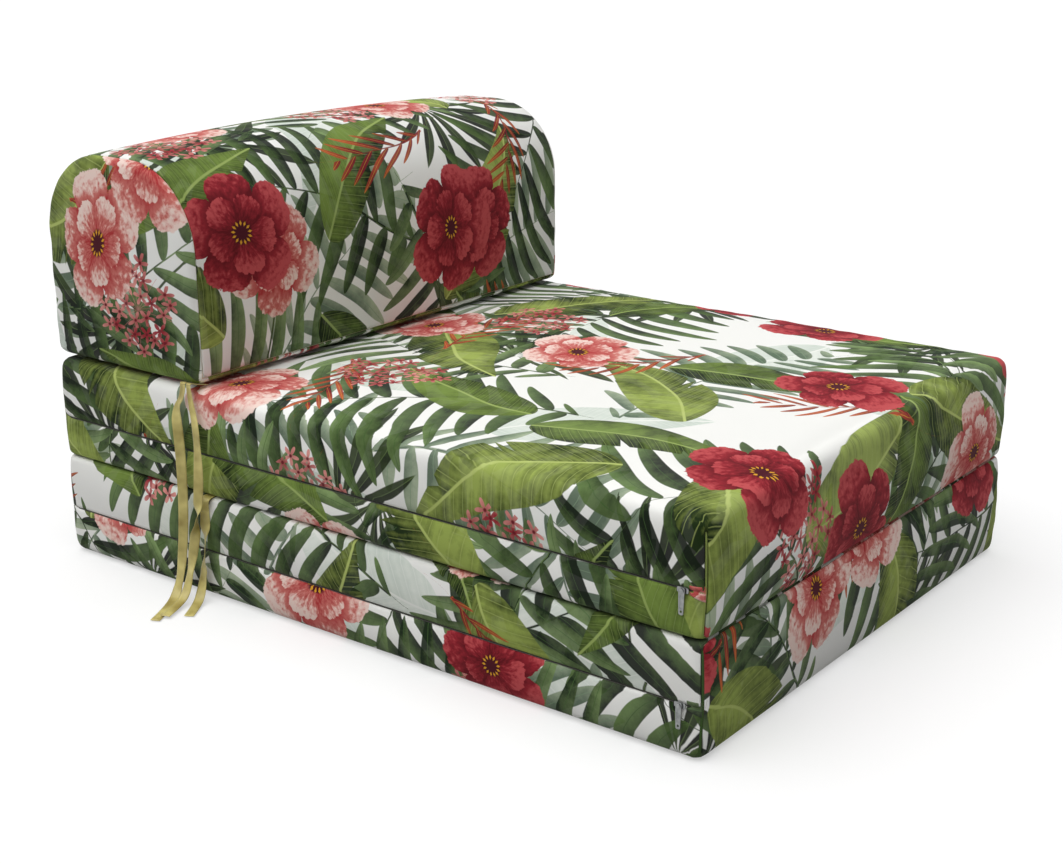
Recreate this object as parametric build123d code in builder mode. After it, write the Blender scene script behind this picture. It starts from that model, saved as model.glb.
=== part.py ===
from build123d import *
import os
from math import radians, tan

# A foam chair that folds out into a bed: two foam slabs lie one on the other, and a bolster with a
# D section stands on the rear of the upper one. Each is covered in sewn fabric panels, tapes hinge
# them to each other, and ribbons tie the stack together.
# Millimetres. +Z is up, the chair faces -Y and its left side is at -X. The origin is the middle of
# the footprint, on the floor.

# The two slabs. A side swells by side_draw between its edges, and between an edge and the zip. The
# edges at the front and rear are rounder than those at the sides, by a share.
slab_width = 600
slab_depth = 800
slab_height = 108
seat_crown = 5
side_draw = 3
corner_radius = 12
floor_edge_radius = 11
top_edge_radius = 9
front_edge_radius = 14
crease_edge_radius = 5
end_edge_share = 1.12

# The backrest, a bolster whose ends and top swell.
backrest_depth = 216
backrest_height = 213
backrest_crown = 9
backrest_shoulder_radius = 85
backrest_end_swell = 6
backrest_view_margin = 1.5
backrest_edge_radius = 9
backrest_foot_radius = 6

# The covers, and the hinge tapes in the gaps between the cushions.
cover_thickness = 1.0
foam_clearance = 0.25
seam_inset = 6
slab_gap = 1.5
hinge_clearance = 0.75
tape_thickness = 0.6
tape_reach = 25
tape_end_margin = 22

# The concealed zip in each left side: two tapes with a row of coil each, behind the lips of the bands.
base_zip_height = 50
seat_zip_height = 42
zip_end_margin = 12
zip_slot = 2.4
zip_tape_width = 14
zip_tape_thickness = 0.6
coil_depth = 1.5
coil_width = 1.8
coil_gap = 1.0
groove_height = 32
groove_clearance = 0.7
stop_length = 3
stop_depth = 1.2

# The slider, whose two plates are joined by a web between the coils, and the pull on its post.
slider_length = 11
slider_width = 6
slider_standoff = 1.2
slider_plate = 1.2
slider_web_length = 8
slider_web_width = 0.4
slider_clearance = 0.3
slider_edge_radius = 2
slider_end_gap = 5.5
pull_length = 24
pull_width = 6
pull_tip_width = 4.5
pull_thickness = 1.0
pull_gap = 1.0
pull_edge_radius = 1.4
pull_head = 3
post_radius = 1.1
post_clearance = 0.4
cap_radius = 2.2
cap_thickness = 0.8
cap_clearance = 0.4

# The ribbon ties and the tabs that they are sewn to.
ribbon_width = 10
ribbon_thickness = 0.8
ribbon_bend_share = 0.45
tab_height = 13
tab_stand_out = 4
tab_root = 14
tab_margin = 0.5

# One overrun serves all cuts.
overrun = 20

# Places that follow from the sizes above.
half_width = slab_width / 2
half_depth = slab_depth / 2
seat_bottom = slab_height + slab_gap
seat_top = seat_bottom + slab_height
backrest_bottom = seat_top + slab_gap
backrest_front = half_depth - backrest_depth
foam_inset = cover_thickness + foam_clearance
zip_face = -(half_width - side_draw)
coil_back = cover_thickness + zip_tape_thickness + coil_depth
groove_depth = coil_back + slider_clearance + slider_plate + groove_clearance
zip_half_length = half_depth - zip_end_margin
slider_rest = -(zip_half_length - slider_end_gap - slider_length / 2)


def round_corner(view, place, radius):
    """Rounds the corner of a sketch that is nearest to a place."""
    fillet(view.vertices().sort_by_distance(place)[0], radius)


def slab_front_view(bottom, crown, zip_height, foot_radius, top_radius, inset):
    """A slab from the front: both sides swell, and the zip draws the left one in."""
    left = -(half_width - inset)
    edge = half_width - inset - side_draw
    low = bottom + inset
    high = bottom + slab_height - inset
    zip_level = bottom + zip_height
    with BuildSketch(Plane.XZ.offset(-half_depth)) as view:
        with BuildLine():
            ThreePointArc((-edge, low), (left, (low + zip_level) / 2), (-edge, zip_level))
            ThreePointArc((-edge, zip_level), (left, (zip_level + high) / 2), (-edge, high))
            if crown:
                ThreePointArc((-edge, high), (0, high + crown), (edge, high))
            else:
                Line((-edge, high), (edge, high))
            ThreePointArc((edge, high), (-left, (low + high) / 2), (edge, low))
            Line((edge, low), (-edge, low))
        make_face()
        for side in (-edge, edge):
            round_corner(view, (side, low), foot_radius - inset)
            round_corner(view, (side, high), top_radius - inset)
    return view.sketch


def slab_side_view(bottom, crown, foot_radius, front_radius, rear_radius, inset):
    """A slab from the side. Its top is flat where the backrest stands, and crowned before that."""
    front = -(half_depth - inset)
    edge = half_depth - inset - side_draw
    low = bottom + inset
    high = bottom + slab_height - inset
    middle = (backrest_front - edge) / 2
    with BuildSketch(Plane.YZ.offset(-half_width)) as view:
        with BuildLine():
            ThreePointArc((-edge, low), (front, (low + high) / 2), (-edge, high))
            if crown:
                ThreePointArc((-edge, high), (middle, high + crown), (backrest_front, high))
                Line((backrest_front, high), (edge, high))
            else:
                Line((-edge, high), (edge, high))
            ThreePointArc((edge, high), (-front, (low + high) / 2), (edge, low))
            Line((edge, low), (-edge, low))
        make_face()
        for side in (-edge, edge):
            round_corner(view, (side, low), end_edge_share * foot_radius - inset)
        round_corner(view, (-edge, high), end_edge_share * front_radius - inset)
        round_corner(view, (edge, high), end_edge_share * rear_radius - inset)
    return view.sketch


def slab_form(slab, inset):
    """A slab's closed form, drawn in by inset all round: what its three views have in common."""
    bottom = slab["bottom"]
    crown = slab["crown"]
    front_view = slab_front_view(
        bottom, crown, slab["zip_height"], slab["foot_radius"], slab["top_radius"], inset
    )
    side_view = slab_side_view(
        bottom, crown, slab["foot_radius"], slab["front_radius"], slab["top_radius"], inset
    )
    with BuildPart() as form:
        extrude(front_view, amount=slab_depth)
        extrude(side_view, amount=slab_width, mode=Mode.INTERSECT)
        with BuildSketch(Plane.XY.offset(bottom)):
            RectangleRounded(
                slab_width - 2 * inset, slab_depth - 2 * inset, corner_radius - inset
            )
        extrude(amount=slab_height + crown, mode=Mode.INTERSECT)
    return form.part


def backrest_form(inset):
    """The bolster's closed form: a D from the side, with a crowned top and swelling ends."""
    front = backrest_front + inset
    rear = half_depth - inset
    low = backrest_bottom + inset
    high = backrest_bottom + backrest_height + backrest_crown - inset
    roof = high + backrest_view_margin
    end_high = high - backrest_crown
    shoulder = backrest_shoulder_radius - inset
    edge = half_width - backrest_end_swell - inset
    swell = half_width - inset
    middle = (low + end_high) / 2
    with BuildPart() as form:
        with BuildSketch(Plane.YZ.offset(-half_width)) as side_view:
            with BuildLine():
                Polyline(
                    (front, low), (rear, low), (rear, roof), (front, roof), (front, low)
                )
            make_face()
            round_corner(side_view, (rear, roof), shoulder)
            round_corner(side_view, (front, roof), shoulder)
            for end in (front, rear):
                round_corner(side_view, (end, low), end_edge_share * backrest_foot_radius - inset)
        extrude(amount=slab_width)
        with BuildSketch(Plane.XZ.offset(-half_depth)) as front_view:
            with BuildLine():
                ThreePointArc((-edge, low), (-swell, middle), (-edge, end_high))
                ThreePointArc((-edge, end_high), (0, high), (edge, end_high))
                ThreePointArc((edge, end_high), (swell, middle), (edge, low))
                Line((edge, low), (-edge, low))
            make_face()
            for side in (-edge, edge):
                round_corner(front_view, (side, low), backrest_foot_radius - inset)
                round_corner(front_view, (side, end_high), backrest_edge_radius - inset)
        extrude(amount=backrest_depth, mode=Mode.INTERSECT)
        plan_edge = edge + backrest_view_margin
        plan_swell = swell + backrest_view_margin
        plan_middle = (front + rear) / 2
        with BuildSketch(Plane.XY.offset(backrest_bottom)) as plan:
            with BuildLine():
                ThreePointArc((-plan_edge, front), (-plan_swell, plan_middle), (-plan_edge, rear))
                Line((-plan_edge, rear), (plan_edge, rear))
                ThreePointArc((plan_edge, rear), (plan_swell, plan_middle), (plan_edge, front))
                Line((plan_edge, front), (-plan_edge, front))
            make_face()
            fillet(plan.vertices(), backrest_edge_radius - inset)
        extrude(amount=backrest_height + backrest_crown, mode=Mode.INTERSECT)
    return form.part


def save(piece, name):
    """Labels a finished piece and writes it as one node."""
    piece.label = name
    export_step(piece, f"parts/{name}.step")


def cut_panel(shell, *boxes):
    """What a cover has inside one or more boxes, each given by its lowest and highest corners."""
    with BuildPart() as room:
        for low, high in boxes:
            with Locations(tuple((a + b) / 2 for a, b in zip(low, high))):
                Box(*[b - a for a, b in zip(low, high)])
    with BuildPart() as panel:
        add(shell)
        add(room.part, mode=Mode.INTERSECT)
    return panel.part


os.makedirs("parts", exist_ok=True)

base = {
    "name": "base",
    "bottom": 0,
    "crown": 0,
    "zip_height": base_zip_height,
    "foot_radius": floor_edge_radius,
    "top_radius": crease_edge_radius,
    "front_radius": crease_edge_radius,
}
seat = {
    "name": "seat",
    "bottom": seat_bottom,
    "crown": seat_crown,
    "zip_height": seat_zip_height,
    "foot_radius": crease_edge_radius,
    "top_radius": top_edge_radius,
    "front_radius": front_edge_radius,
}

# The seams lie seam_inset in from a slab's widest line, so they run along its rounded edges.
seam_x = half_width - seam_inset
seam_y = half_depth - seam_inset

for slab in (base, seat):
    name = slab["name"]
    bottom = slab["bottom"]
    middle = bottom + slab_height / 2
    zip_level = bottom + slab["zip_height"]
    under = bottom - overrun
    above = bottom + slab_height + overrun
    outside_x = half_width + overrun
    outside_y = half_depth + overrun

    # The cover is a shell, cut along its seams into panels.
    outer = slab_form(slab, 0)
    slab["outer"] = outer
    inner = slab_form(slab, cover_thickness)
    with BuildPart() as cover:
        add(outer)
        add(inner, mode=Mode.SUBTRACT)
    shell = cover.part

    # The left side is two bands, each cut in one with the panel above or below it, and their lips
    # leave a slot for the zip. The front is cut in one with the seat's top panel, and with the lower
    # slab's bottom panel.
    upper_lip = zip_level + zip_slot / 2
    lower_lip = zip_level - zip_slot / 2
    upper_box = (-outside_x, -outside_y, upper_lip), (-seam_x, outside_y, above)
    lower_box = (-outside_x, -outside_y, under), (-seam_x, outside_y, lower_lip)
    top_box = (-seam_x, -seam_y, middle), (seam_x, seam_y, above)
    bottom_box = (-seam_x, -seam_y, under), (seam_x, seam_y, middle)
    front_box = (-seam_x, -outside_y, under), (seam_x, -seam_y, above)
    if slab is seat:
        save(cut_panel(shell, top_box, upper_box, front_box), f"{name}_top_panel")
        save(cut_panel(shell, bottom_box, lower_box), f"{name}_bottom_panel")
    else:
        save(cut_panel(shell, top_box, upper_box), f"{name}_top_panel")
        save(cut_panel(shell, bottom_box, lower_box, front_box), f"{name}_bottom_panel")

    # The right and the rear are gussets.
    right_box = (seam_x, -outside_y, under), (outside_x, outside_y, above)
    save(cut_panel(shell, right_box), f"{name}_right_gusset")
    rear_box = (-seam_x, seam_y, under), (seam_x, outside_y, above)
    save(cut_panel(shell, rear_box), f"{name}_rear_gusset")

    # The foam block has a groove for the zip.
    foam_block = slab_form(slab, foam_inset)
    with BuildPart() as foam:
        add(foam_block)
        with BuildSketch(Plane.YZ.offset(zip_face + groove_depth)):
            with Locations((0, zip_level)):
                Rectangle(slab_depth + overrun, groove_height)
        extrude(amount=-(groove_depth + overrun), mode=Mode.SUBTRACT)
    save(foam.part, f"{name}_foam")

    # The zip's own plane lies in the slab's side: along it runs the zip, down is its second axis,
    # and the third points outwards.
    zip_plane = Plane(origin=(zip_face, 0, zip_level), x_dir=(0, 1, 0), z_dir=(-1, 0, 0))
    with BuildPart() as zip_chain:
        for tape_side in (-1, 1):
            tape_middle = tape_side * (coil_gap + zip_tape_width) / 2
            with BuildSketch(zip_plane.offset(-cover_thickness)):
                with Locations((0, tape_middle)):
                    Rectangle(2 * zip_half_length, zip_tape_width)
            extrude(amount=-zip_tape_thickness)
            coil_middle = tape_side * (coil_gap + coil_width) / 2
            with BuildSketch(zip_plane.offset(-cover_thickness - zip_tape_thickness)):
                with Locations((0, coil_middle)):
                    Rectangle(2 * zip_half_length, coil_width)
            extrude(amount=-coil_depth)
    save(zip_chain.part, f"{name}_zip_chain")

    with BuildPart() as zip_stops:
        with BuildSketch(zip_plane.offset(-coil_back)):
            for end in (-1, 1):
                with Locations((end * (zip_half_length - stop_length / 2), 0)):
                    Rectangle(stop_length, coil_gap + 2 * coil_width)
        extrude(amount=-stop_depth)
    save(zip_stops.part, f"{name}_zip_stops")

    with BuildPart() as zip_slider:
        plate_low = slider_standoff
        post_low = plate_low + slider_plate
        with BuildSketch(zip_plane.offset(plate_low)):
            with Locations((slider_rest, 0)):
                RectangleRounded(slider_length, slider_width, slider_edge_radius)
        extrude(amount=slider_plate)
        web_low = -(coil_back + slider_clearance)
        with BuildSketch(zip_plane.offset(web_low)):
            with Locations((slider_rest, 0)):
                Rectangle(slider_web_length, slider_web_width)
        extrude(amount=plate_low - web_low)
        with BuildSketch(zip_plane.offset(web_low)):
            with Locations((slider_rest, 0)):
                RectangleRounded(slider_length, slider_width, slider_edge_radius)
        extrude(amount=-slider_plate)
        cap_low = post_low + pull_gap + pull_thickness + cap_clearance
        with BuildSketch(zip_plane.offset(post_low)):
            with Locations((slider_rest, 0)):
                Circle(post_radius)
        extrude(amount=cap_low - post_low)
        with BuildSketch(zip_plane.offset(cap_low)):
            with Locations((slider_rest, 0)):
                Circle(cap_radius)
        extrude(amount=cap_thickness)
    save(zip_slider.part, f"{name}_zip_slider")

    with BuildPart() as zip_pull:
        with BuildSketch(zip_plane.offset(post_low + pull_gap)) as pull_outline:
            tip = pull_length - pull_head
            with BuildLine():
                Polyline(
                    (slider_rest - pull_width / 2, -pull_head),
                    (slider_rest + pull_width / 2, -pull_head),
                    (slider_rest + pull_tip_width / 2, tip),
                    (slider_rest - pull_tip_width / 2, tip),
                    (slider_rest - pull_width / 2, -pull_head),
                )
            make_face()
            fillet(pull_outline.vertices(), pull_edge_radius)
            with Locations((slider_rest, 0)):
                Circle(post_radius + post_clearance, mode=Mode.SUBTRACT)
        extrude(amount=pull_thickness)
    save(zip_pull.part, f"{name}_zip_pull")

# The backrest's cover is one panel wrapped round the D, closed by two ends and a bottom.
backrest_outer = backrest_form(0)
backrest_inner = backrest_form(cover_thickness)
with BuildPart() as backrest_cover:
    add(backrest_outer)
    add(backrest_inner, mode=Mode.SUBTRACT)
backrest_shell = backrest_cover.part
end_seam_x = half_width - backrest_end_swell - seam_inset
foot_seam_z = backrest_bottom + backrest_foot_radius
backrest_roof = backrest_bottom + backrest_height + backrest_crown + overrun
outside_x = half_width + overrun
outside_front = backrest_front - overrun
outside_rear = half_depth + overrun
under = backrest_bottom - overrun
wrap_box = (-end_seam_x, outside_front, foot_seam_z), (end_seam_x, outside_rear, backrest_roof)
save(cut_panel(backrest_shell, wrap_box), "backrest_wrap_panel")
foot_box = (-end_seam_x, outside_front, under), (end_seam_x, outside_rear, foot_seam_z)
save(cut_panel(backrest_shell, foot_box), "backrest_bottom_panel")
left_box = (-outside_x, outside_front, under), (-end_seam_x, outside_rear, backrest_roof)
save(cut_panel(backrest_shell, left_box), "backrest_left_end_panel")
right_box = (end_seam_x, outside_front, under), (outside_x, outside_rear, backrest_roof)
save(cut_panel(backrest_shell, right_box), "backrest_right_end_panel")
save(backrest_form(foam_inset), "backrest_foam")

# A hinge tape is two leaves, one on each cushion, that end just short of the hinge line.
tape_width = slab_width - 2 * tape_end_margin
tape_end = half_depth + hinge_clearance / 2
tape_middle = tape_end - tape_reach / 2
hinge_leaves = [
    ("front_hinge_lower_leaf", -1, slab_height),
    ("front_hinge_upper_leaf", -1, seat_bottom - tape_thickness),
    ("rear_hinge_lower_leaf", 1, seat_top),
    ("rear_hinge_upper_leaf", 1, backrest_bottom - tape_thickness),
]
for name, end, leaf_bottom in hinge_leaves:
    with BuildPart() as leaf:
        with BuildSketch(Plane.XY.offset(leaf_bottom)):
            with Locations((0, end * tape_middle)):
                Rectangle(tape_width, tape_reach)
        extrude(amount=tape_thickness)
    save(leaf.part, name)

# The ties leave two sewn tabs: one low on the backrest's front left corner, and one on the lower
# slab at the crease. The points run down the left side and out over the floor. They are measured
# from the floor below the backrest's front left corner.
tie_corner = Vector(-half_width, backrest_front, 0)
rear_tail_offsets = [
    (-3.5, 13, 221.5),
    (-3.5, 13, 207),
    (-6.5, 15.5, 181),
    (-8.5, 18, 148),
    (-10.5, 19, 104),
    (-13, 21.5, 60),
    (-14.5, 25.5, 26),
    (-23, 21.5, 4.5),
    (-46, 8, 0.9),
    (-70, -4.4, 0.9),
]
front_tail_offsets = [
    (-3.5, 2, 221.5),
    (-3.5, 2, 208),
    (-7.5, -1.5, 184),
    (-9.5, -4.5, 150),
    (-11, -2.5, 110),
    (-13.5, 4.5, 68),
    (-15, 12.5, 31),
    (-24, 9.5, 7),
    (-44, 1.5, 2.7),
    (-63, -6.5, 2.7),
]
base_tail_offsets = [
    (-3.3, -7, 94.5),
    (-3.3, -7, 83),
    (-6.2, -8, 63),
    (-6.4, -5.5, 40),
    (-7.5, -3, 21),
    (-16, -6, 3.8),
    (-32, -14.5, 0.9),
    (-46, -22.5, 0.9),
]
ribbons = [
    ("backrest_tie_rear_tail", rear_tail_offsets),
    ("backrest_tie_front_tail", front_tail_offsets),
    ("base_tie_tail", base_tail_offsets),
]
for name, offsets in ribbons:
    places = [tie_corner + Vector(*offset) for offset in offsets]
    runs = [b - a for a, b in zip(places, places[1:])]
    radii = []
    for before, after in zip(runs, runs[1:]):
        half_turn = radians(before.get_angle(after)) / 2
        shorter = min(before.length, after.length)
        radii.append(ribbon_bend_share * shorter / tan(half_turn))
    print(name, "radii", [round(radius) for radius in radii])
    with BuildPart() as ribbon:
        with BuildLine() as route:
            FilletPolyline(*places, radius=radii)
        across = runs[-1].cross(Vector(0, 0, 1))
        with BuildSketch(Plane(origin=places[0], x_dir=across, z_dir=runs[0])):
            Rectangle(ribbon_width, ribbon_thickness)
        sweep(path=route.wires()[0])
    length = route.wires()[0].length
    flat_volume = length * ribbon_width * ribbon_thickness
    print(name, "length", round(length), "volume share", round(ribbon.part.volume / flat_volume, 3))
    save(ribbon.part, name)

tabs = [
    ("backrest_tie_tab", rear_tail_offsets, front_tail_offsets, backrest_outer),
    ("base_tie_tab", base_tail_offsets, base_tail_offsets, base["outer"]),
]
for name, rear_offsets, front_offsets, cushion in tabs:
    rear_exit = tie_corner + Vector(*rear_offsets[0])
    front_exit = tie_corner + Vector(*front_offsets[0])
    tab_rear = rear_exit.Y + ribbon_width / 2 + tab_margin
    tab_front = front_exit.Y - ribbon_width / 2 - tab_margin
    tab_foot = rear_exit.Z
    tab_middle = -half_width - tab_stand_out + tab_root / 2
    with BuildPart() as tab:
        with Locations((tab_middle, (tab_front + tab_rear) / 2, tab_foot + tab_height / 2)):
            Box(tab_root, tab_rear - tab_front, tab_height)
        add(cushion, mode=Mode.SUBTRACT)
    save(tab.part, name)
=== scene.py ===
# %% [markdown]
# # A folding foam chair
# Two foam slabs in printed covers lie one on the other, and a bolster with a D section stands on the
# upper one as a backrest. Each slab has a zip along its left side, cloth tapes hinge the cushions to
# each other, and thin ribbons tie the stack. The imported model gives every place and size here, and
# this lesson gives each piece its soft shape and its finish.

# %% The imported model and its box
import math
from functools import partial

import bmesh
import bpy
from mathutils import Matrix, Vector, noise
from mathutils.bvhtree import BVHTree
from mathutils.kdtree import KDTree


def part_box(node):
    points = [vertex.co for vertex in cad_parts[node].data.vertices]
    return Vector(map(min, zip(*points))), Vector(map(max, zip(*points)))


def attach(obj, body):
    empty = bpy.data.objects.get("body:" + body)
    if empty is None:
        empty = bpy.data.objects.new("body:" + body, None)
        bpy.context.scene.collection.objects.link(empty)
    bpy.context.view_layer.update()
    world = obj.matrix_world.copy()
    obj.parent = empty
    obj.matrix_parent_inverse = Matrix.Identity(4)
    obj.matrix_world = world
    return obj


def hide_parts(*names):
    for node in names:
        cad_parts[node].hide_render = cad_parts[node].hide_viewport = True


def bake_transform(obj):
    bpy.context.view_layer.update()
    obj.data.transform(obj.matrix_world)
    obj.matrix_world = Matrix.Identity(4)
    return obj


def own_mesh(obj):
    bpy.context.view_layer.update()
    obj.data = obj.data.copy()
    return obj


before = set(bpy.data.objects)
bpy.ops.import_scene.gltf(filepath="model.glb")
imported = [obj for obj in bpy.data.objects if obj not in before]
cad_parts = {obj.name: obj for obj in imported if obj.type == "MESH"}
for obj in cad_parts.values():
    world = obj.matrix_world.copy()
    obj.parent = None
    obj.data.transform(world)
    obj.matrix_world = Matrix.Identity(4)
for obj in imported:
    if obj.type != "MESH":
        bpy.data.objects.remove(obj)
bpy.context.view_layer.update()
MM = 0.001

# %% [markdown]
# ## The camera
# The photograph was taken from the front left, a little above the seat. Three things set such a view:
# where the camera stands, where it looks and how long its lens is. They were worked out from the
# slabs' straight edges, whose real lengths are known, so the picture has the photograph's perspective.

# %% The photograph's view
CAMERA_PLACE = Vector((-1.3926, -1.0575, 0.7008))
CAMERA_FORWARD = Vector((0.75701, 0.57575, -0.30895))
CAMERA_UP = Vector((0.24721, 0.1853, 0.95108))
CAMERA_LENS = 59.02
SENSOR_WIDTH = 36.0


def aimed(place, forward, up):
    """The placing of a camera or lamp, which looks along its own -Z with +Y upwards."""
    right = forward.cross(up).normalized()
    level = right.cross(forward).normalized()
    turn = Matrix((right, level, -forward.normalized())).transposed().to_4x4()
    return Matrix.Translation(place) @ turn


camera = bpy.data.objects.new("photo_view", bpy.data.cameras.new("photo_view"))
camera.data.lens = CAMERA_LENS
camera.data.sensor_width = SENSOR_WIDTH
camera.data.sensor_fit = "HORIZONTAL"
camera.matrix_world = aimed(CAMERA_PLACE, CAMERA_FORWARD, CAMERA_UP)
bpy.context.scene.collection.objects.link(camera)
bpy.context.scene.camera = camera
bpy.context.scene.view_settings.view_transform = "Standard"
print("camera at", [round(value, 3) for value in CAMERA_PLACE])

# %% [markdown]
# ## Nodes and colours
# Every finish below is a small tree of shader nodes. One function adds a node, sets it and feeds its
# sockets, so that a tree reads as a list of steps. Colours are written as a picker shows them, in
# sRGB, and turned to the linear values that shaders use.

# %% Helpers for the finishes
MATH = "ShaderNodeMath"
VECTOR = "ShaderNodeVectorMath"
MIX = "ShaderNodeMix"


def add_node(tree, kind, *inputs, output=0, sockets=None, **settings):
    """Adds one node, feeds its sockets in order or by name, and returns one of its outputs."""
    node = tree.nodes.new(kind)
    for name, value in settings.items():
        setattr(node, name, value)
    for key, value in [*enumerate(inputs), *(sockets or {}).items()]:
        if isinstance(value, bpy.types.NodeSocket):
            tree.links.new(value, node.inputs[key])
        elif value is not None:
            node.inputs[key].default_value = value
    return node.outputs[output] if node.outputs else node


def linear(hex_colour):
    """Turns an sRGB colour such as "#c8bd6a" into linear red, green and blue, and an alpha of 1."""
    channels = [int(hex_colour[at:at + 2], 16) / 255 for at in (1, 3, 5)]
    return [c / 12.92 if c <= 0.04045 else ((c + 0.055) / 1.055) ** 2.4 for c in channels] + [1]


def new_material(name):
    """A material whose node tree is still empty."""
    material = bpy.data.materials.new(name)
    material.use_nodes = True
    material.node_tree.nodes.clear()
    return material


# %% [markdown]
# ## Floor, backdrop and light
# A product like this is photographed on a white sweep under a large soft lamp overhead. A wide sun is
# such a lamp: it lights every place alike, so the floor keeps one even white, and its width gives the
# soft shadow at the foot of the chair. The world adds a little light from all round, and looks white
# to the camera.

# %% Floor and lights
FLOOR_SIZE = 60.0
KEY_STRENGTH = 2.7
KEY_WIDTH = math.radians(80)
KEY_FROM = Vector((-0.25, 0.12, 1.0))
SIDE_STRENGTH = 0.15
SIDE_WIDTH = math.radians(60)
SIDE_FROM = Vector((-1.0, -0.1, 0.8))
WORLD_LIGHT = 0.22
FLOOR_SEEN = "#bfbfbf"
FLOOR_GLOW = 0.48
FLOOR_LIGHT = "#a0a0a0"


def seen_share(add):
    """1 for rays from the camera and for those that mirrors and glass send on, otherwise 0."""
    path = add("ShaderNodeLightPath").node
    seen = add(MATH, path.outputs["Is Camera Ray"], path.outputs["Is Glossy Ray"], operation="ADD")
    return add(MATH, seen, path.outputs["Is Transmission Ray"], operation="ADD", use_clamp=True)


world = bpy.data.worlds.new("studio")
world.use_nodes = True
world.node_tree.nodes.clear()
bpy.context.scene.world = world
add = partial(add_node, world.node_tree)
strength = add(MIX, seen_share(add), sockets={2: WORLD_LIGHT, 3: 1.0})
add("ShaderNodeOutputWorld", add("ShaderNodeBackground", linear("#ffffff"), strength))

floor_material = new_material("white_photo_sweep")
add = partial(add_node, floor_material.node_tree)
floor_colour = add(
    MIX, seen_share(add), output=2, data_type="RGBA",
    sockets={6: linear(FLOOR_LIGHT), 7: linear(FLOOR_SEEN)},
)
# The sweep glows a little to the camera, which halves the shadow, as retouching does on a white ground.
glow = add(MATH, seen_share(add), FLOOR_GLOW, operation="MULTIPLY")
floor_shader = add("ShaderNodeBsdfPrincipled", floor_colour, sockets={
    "Roughness": 0.9, "Specular IOR Level": 0.1, "Emission Color": linear("#ffffff"), "Emission Strength": glow,
})
add("ShaderNodeOutputMaterial", floor_shader)

bm = bmesh.new()
bmesh.ops.create_grid(bm, x_segments=1, y_segments=1, size=FLOOR_SIZE / 2)
floor_mesh = bpy.data.meshes.new("floor")
bm.to_mesh(floor_mesh)
bm.free()
floor = bpy.data.objects.new("floor", floor_mesh)
floor.data.materials.append(floor_material)
bpy.context.scene.collection.objects.link(floor)


def add_sun(name, source, strength, width):
    """A sun that shines from a direction. Its width sets how soft its shadows are."""
    lamp = bpy.data.lights.new(name, "SUN")
    lamp.energy = strength
    lamp.angle = width
    sun = bpy.data.objects.new(name, lamp)
    sun.matrix_world = aimed(source, -source, Vector((0, 1, 0)))
    bpy.context.scene.collection.objects.link(sun)


add_sun("overhead_softbox", KEY_FROM, KEY_STRENGTH, KEY_WIDTH)
add_sun("left_softbox", SIDE_FROM, SIDE_STRENGTH, SIDE_WIDTH)

# %% [markdown]
# ## Making cushions
# A foam cushion starts as a block. Its edges are rounded with a bevel, a grid is cut over it so that
# it can bend, and its sides and top are swollen. Cutting the grid with planes, rather than dividing
# each face, keeps the rows straight right round the block, as the threads of a cloth are.

# %% Helpers for cushions
GRID_STEP = 12 * MM
SEAM_ROW = 2.5 * MM


def block(low, high):
    """A box between two corners."""
    bm = bmesh.new()
    bmesh.ops.create_cube(bm, size=1)
    bmesh.ops.scale(bm, vec=high - low, verts=bm.verts)
    bmesh.ops.translate(bm, vec=(low + high) / 2, verts=bm.verts)
    return bm


def round_edges(bm, radius, segments, chosen):
    """Rounds the edges for which chosen(first corner, second corner) is true."""
    edges = [edge for edge in bm.edges if chosen(*(vert.co for vert in edge.verts))]
    bmesh.ops.bevel(
        bm, geom=edges, offset=radius, offset_type="OFFSET", segments=segments, profile=0.5,
        affect="EDGES", material=-1,
    )


def cut_rows(bm, axis, places):
    """Cuts a mesh with planes square to an axis."""
    normal = Vector((0, 0, 0))
    normal[axis] = 1
    for place in places:
        geometry = bm.verts[:] + bm.edges[:] + bm.faces[:]
        bmesh.ops.bisect_plane(bm, geom=geometry, plane_co=normal * place, plane_no=normal)


def rows(start, end, step=GRID_STEP):
    """Evenly spaced places from start to end, both included."""
    count = max(1, round((end - start) / step))
    return [start + (end - start) * number / count for number in range(count + 1)]


def bump_between(value, start, end):
    """1 halfway between two places, falling to 0 at both and beyond."""
    share = (value - (start + end) / 2) / ((end - start) / 2)
    return max(0.0, 1 - share * share)


def along_rounded_edge(outward, down, radius):
    """How far over a rounded edge the cloth has run, from where the edge starts to turn."""
    if down > 0:
        return radius * math.pi / 2 + down
    if outward <= 0:
        return outward
    return radius * math.atan2(outward, -down)


def add_object(name, bm, material, sharp_angle=None):
    """Turns a bmesh into a smooth object. Edges that turn by more than the sharp angle stay crisp."""
    mesh = bpy.data.meshes.new(name)
    bm.to_mesh(mesh)
    bm.free()
    mesh.shade_smooth()
    if sharp_angle is not None:
        mesh.set_sharp_from_angle(angle=sharp_angle)
    piece = bpy.data.objects.new(name, mesh)
    piece.data.materials.append(material)
    bpy.context.scene.collection.objects.link(piece)
    return piece


# %% [markdown]
# ## Puffing the covers
# A sewn cover isn't flat between its seams: the foam presses it out, and the cloth finds its own
# curve. Blender's cloth simulation with a little pressure and no gravity does the same. Seams and
# faces that another cushion presses on are held still, and no point may leave its place by more than a
# few millimetres, so the cushion keeps its size.

# %% Cloth under pressure
PUFF_FRAMES = 16
PUFF_CAP = 4 * MM


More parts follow.
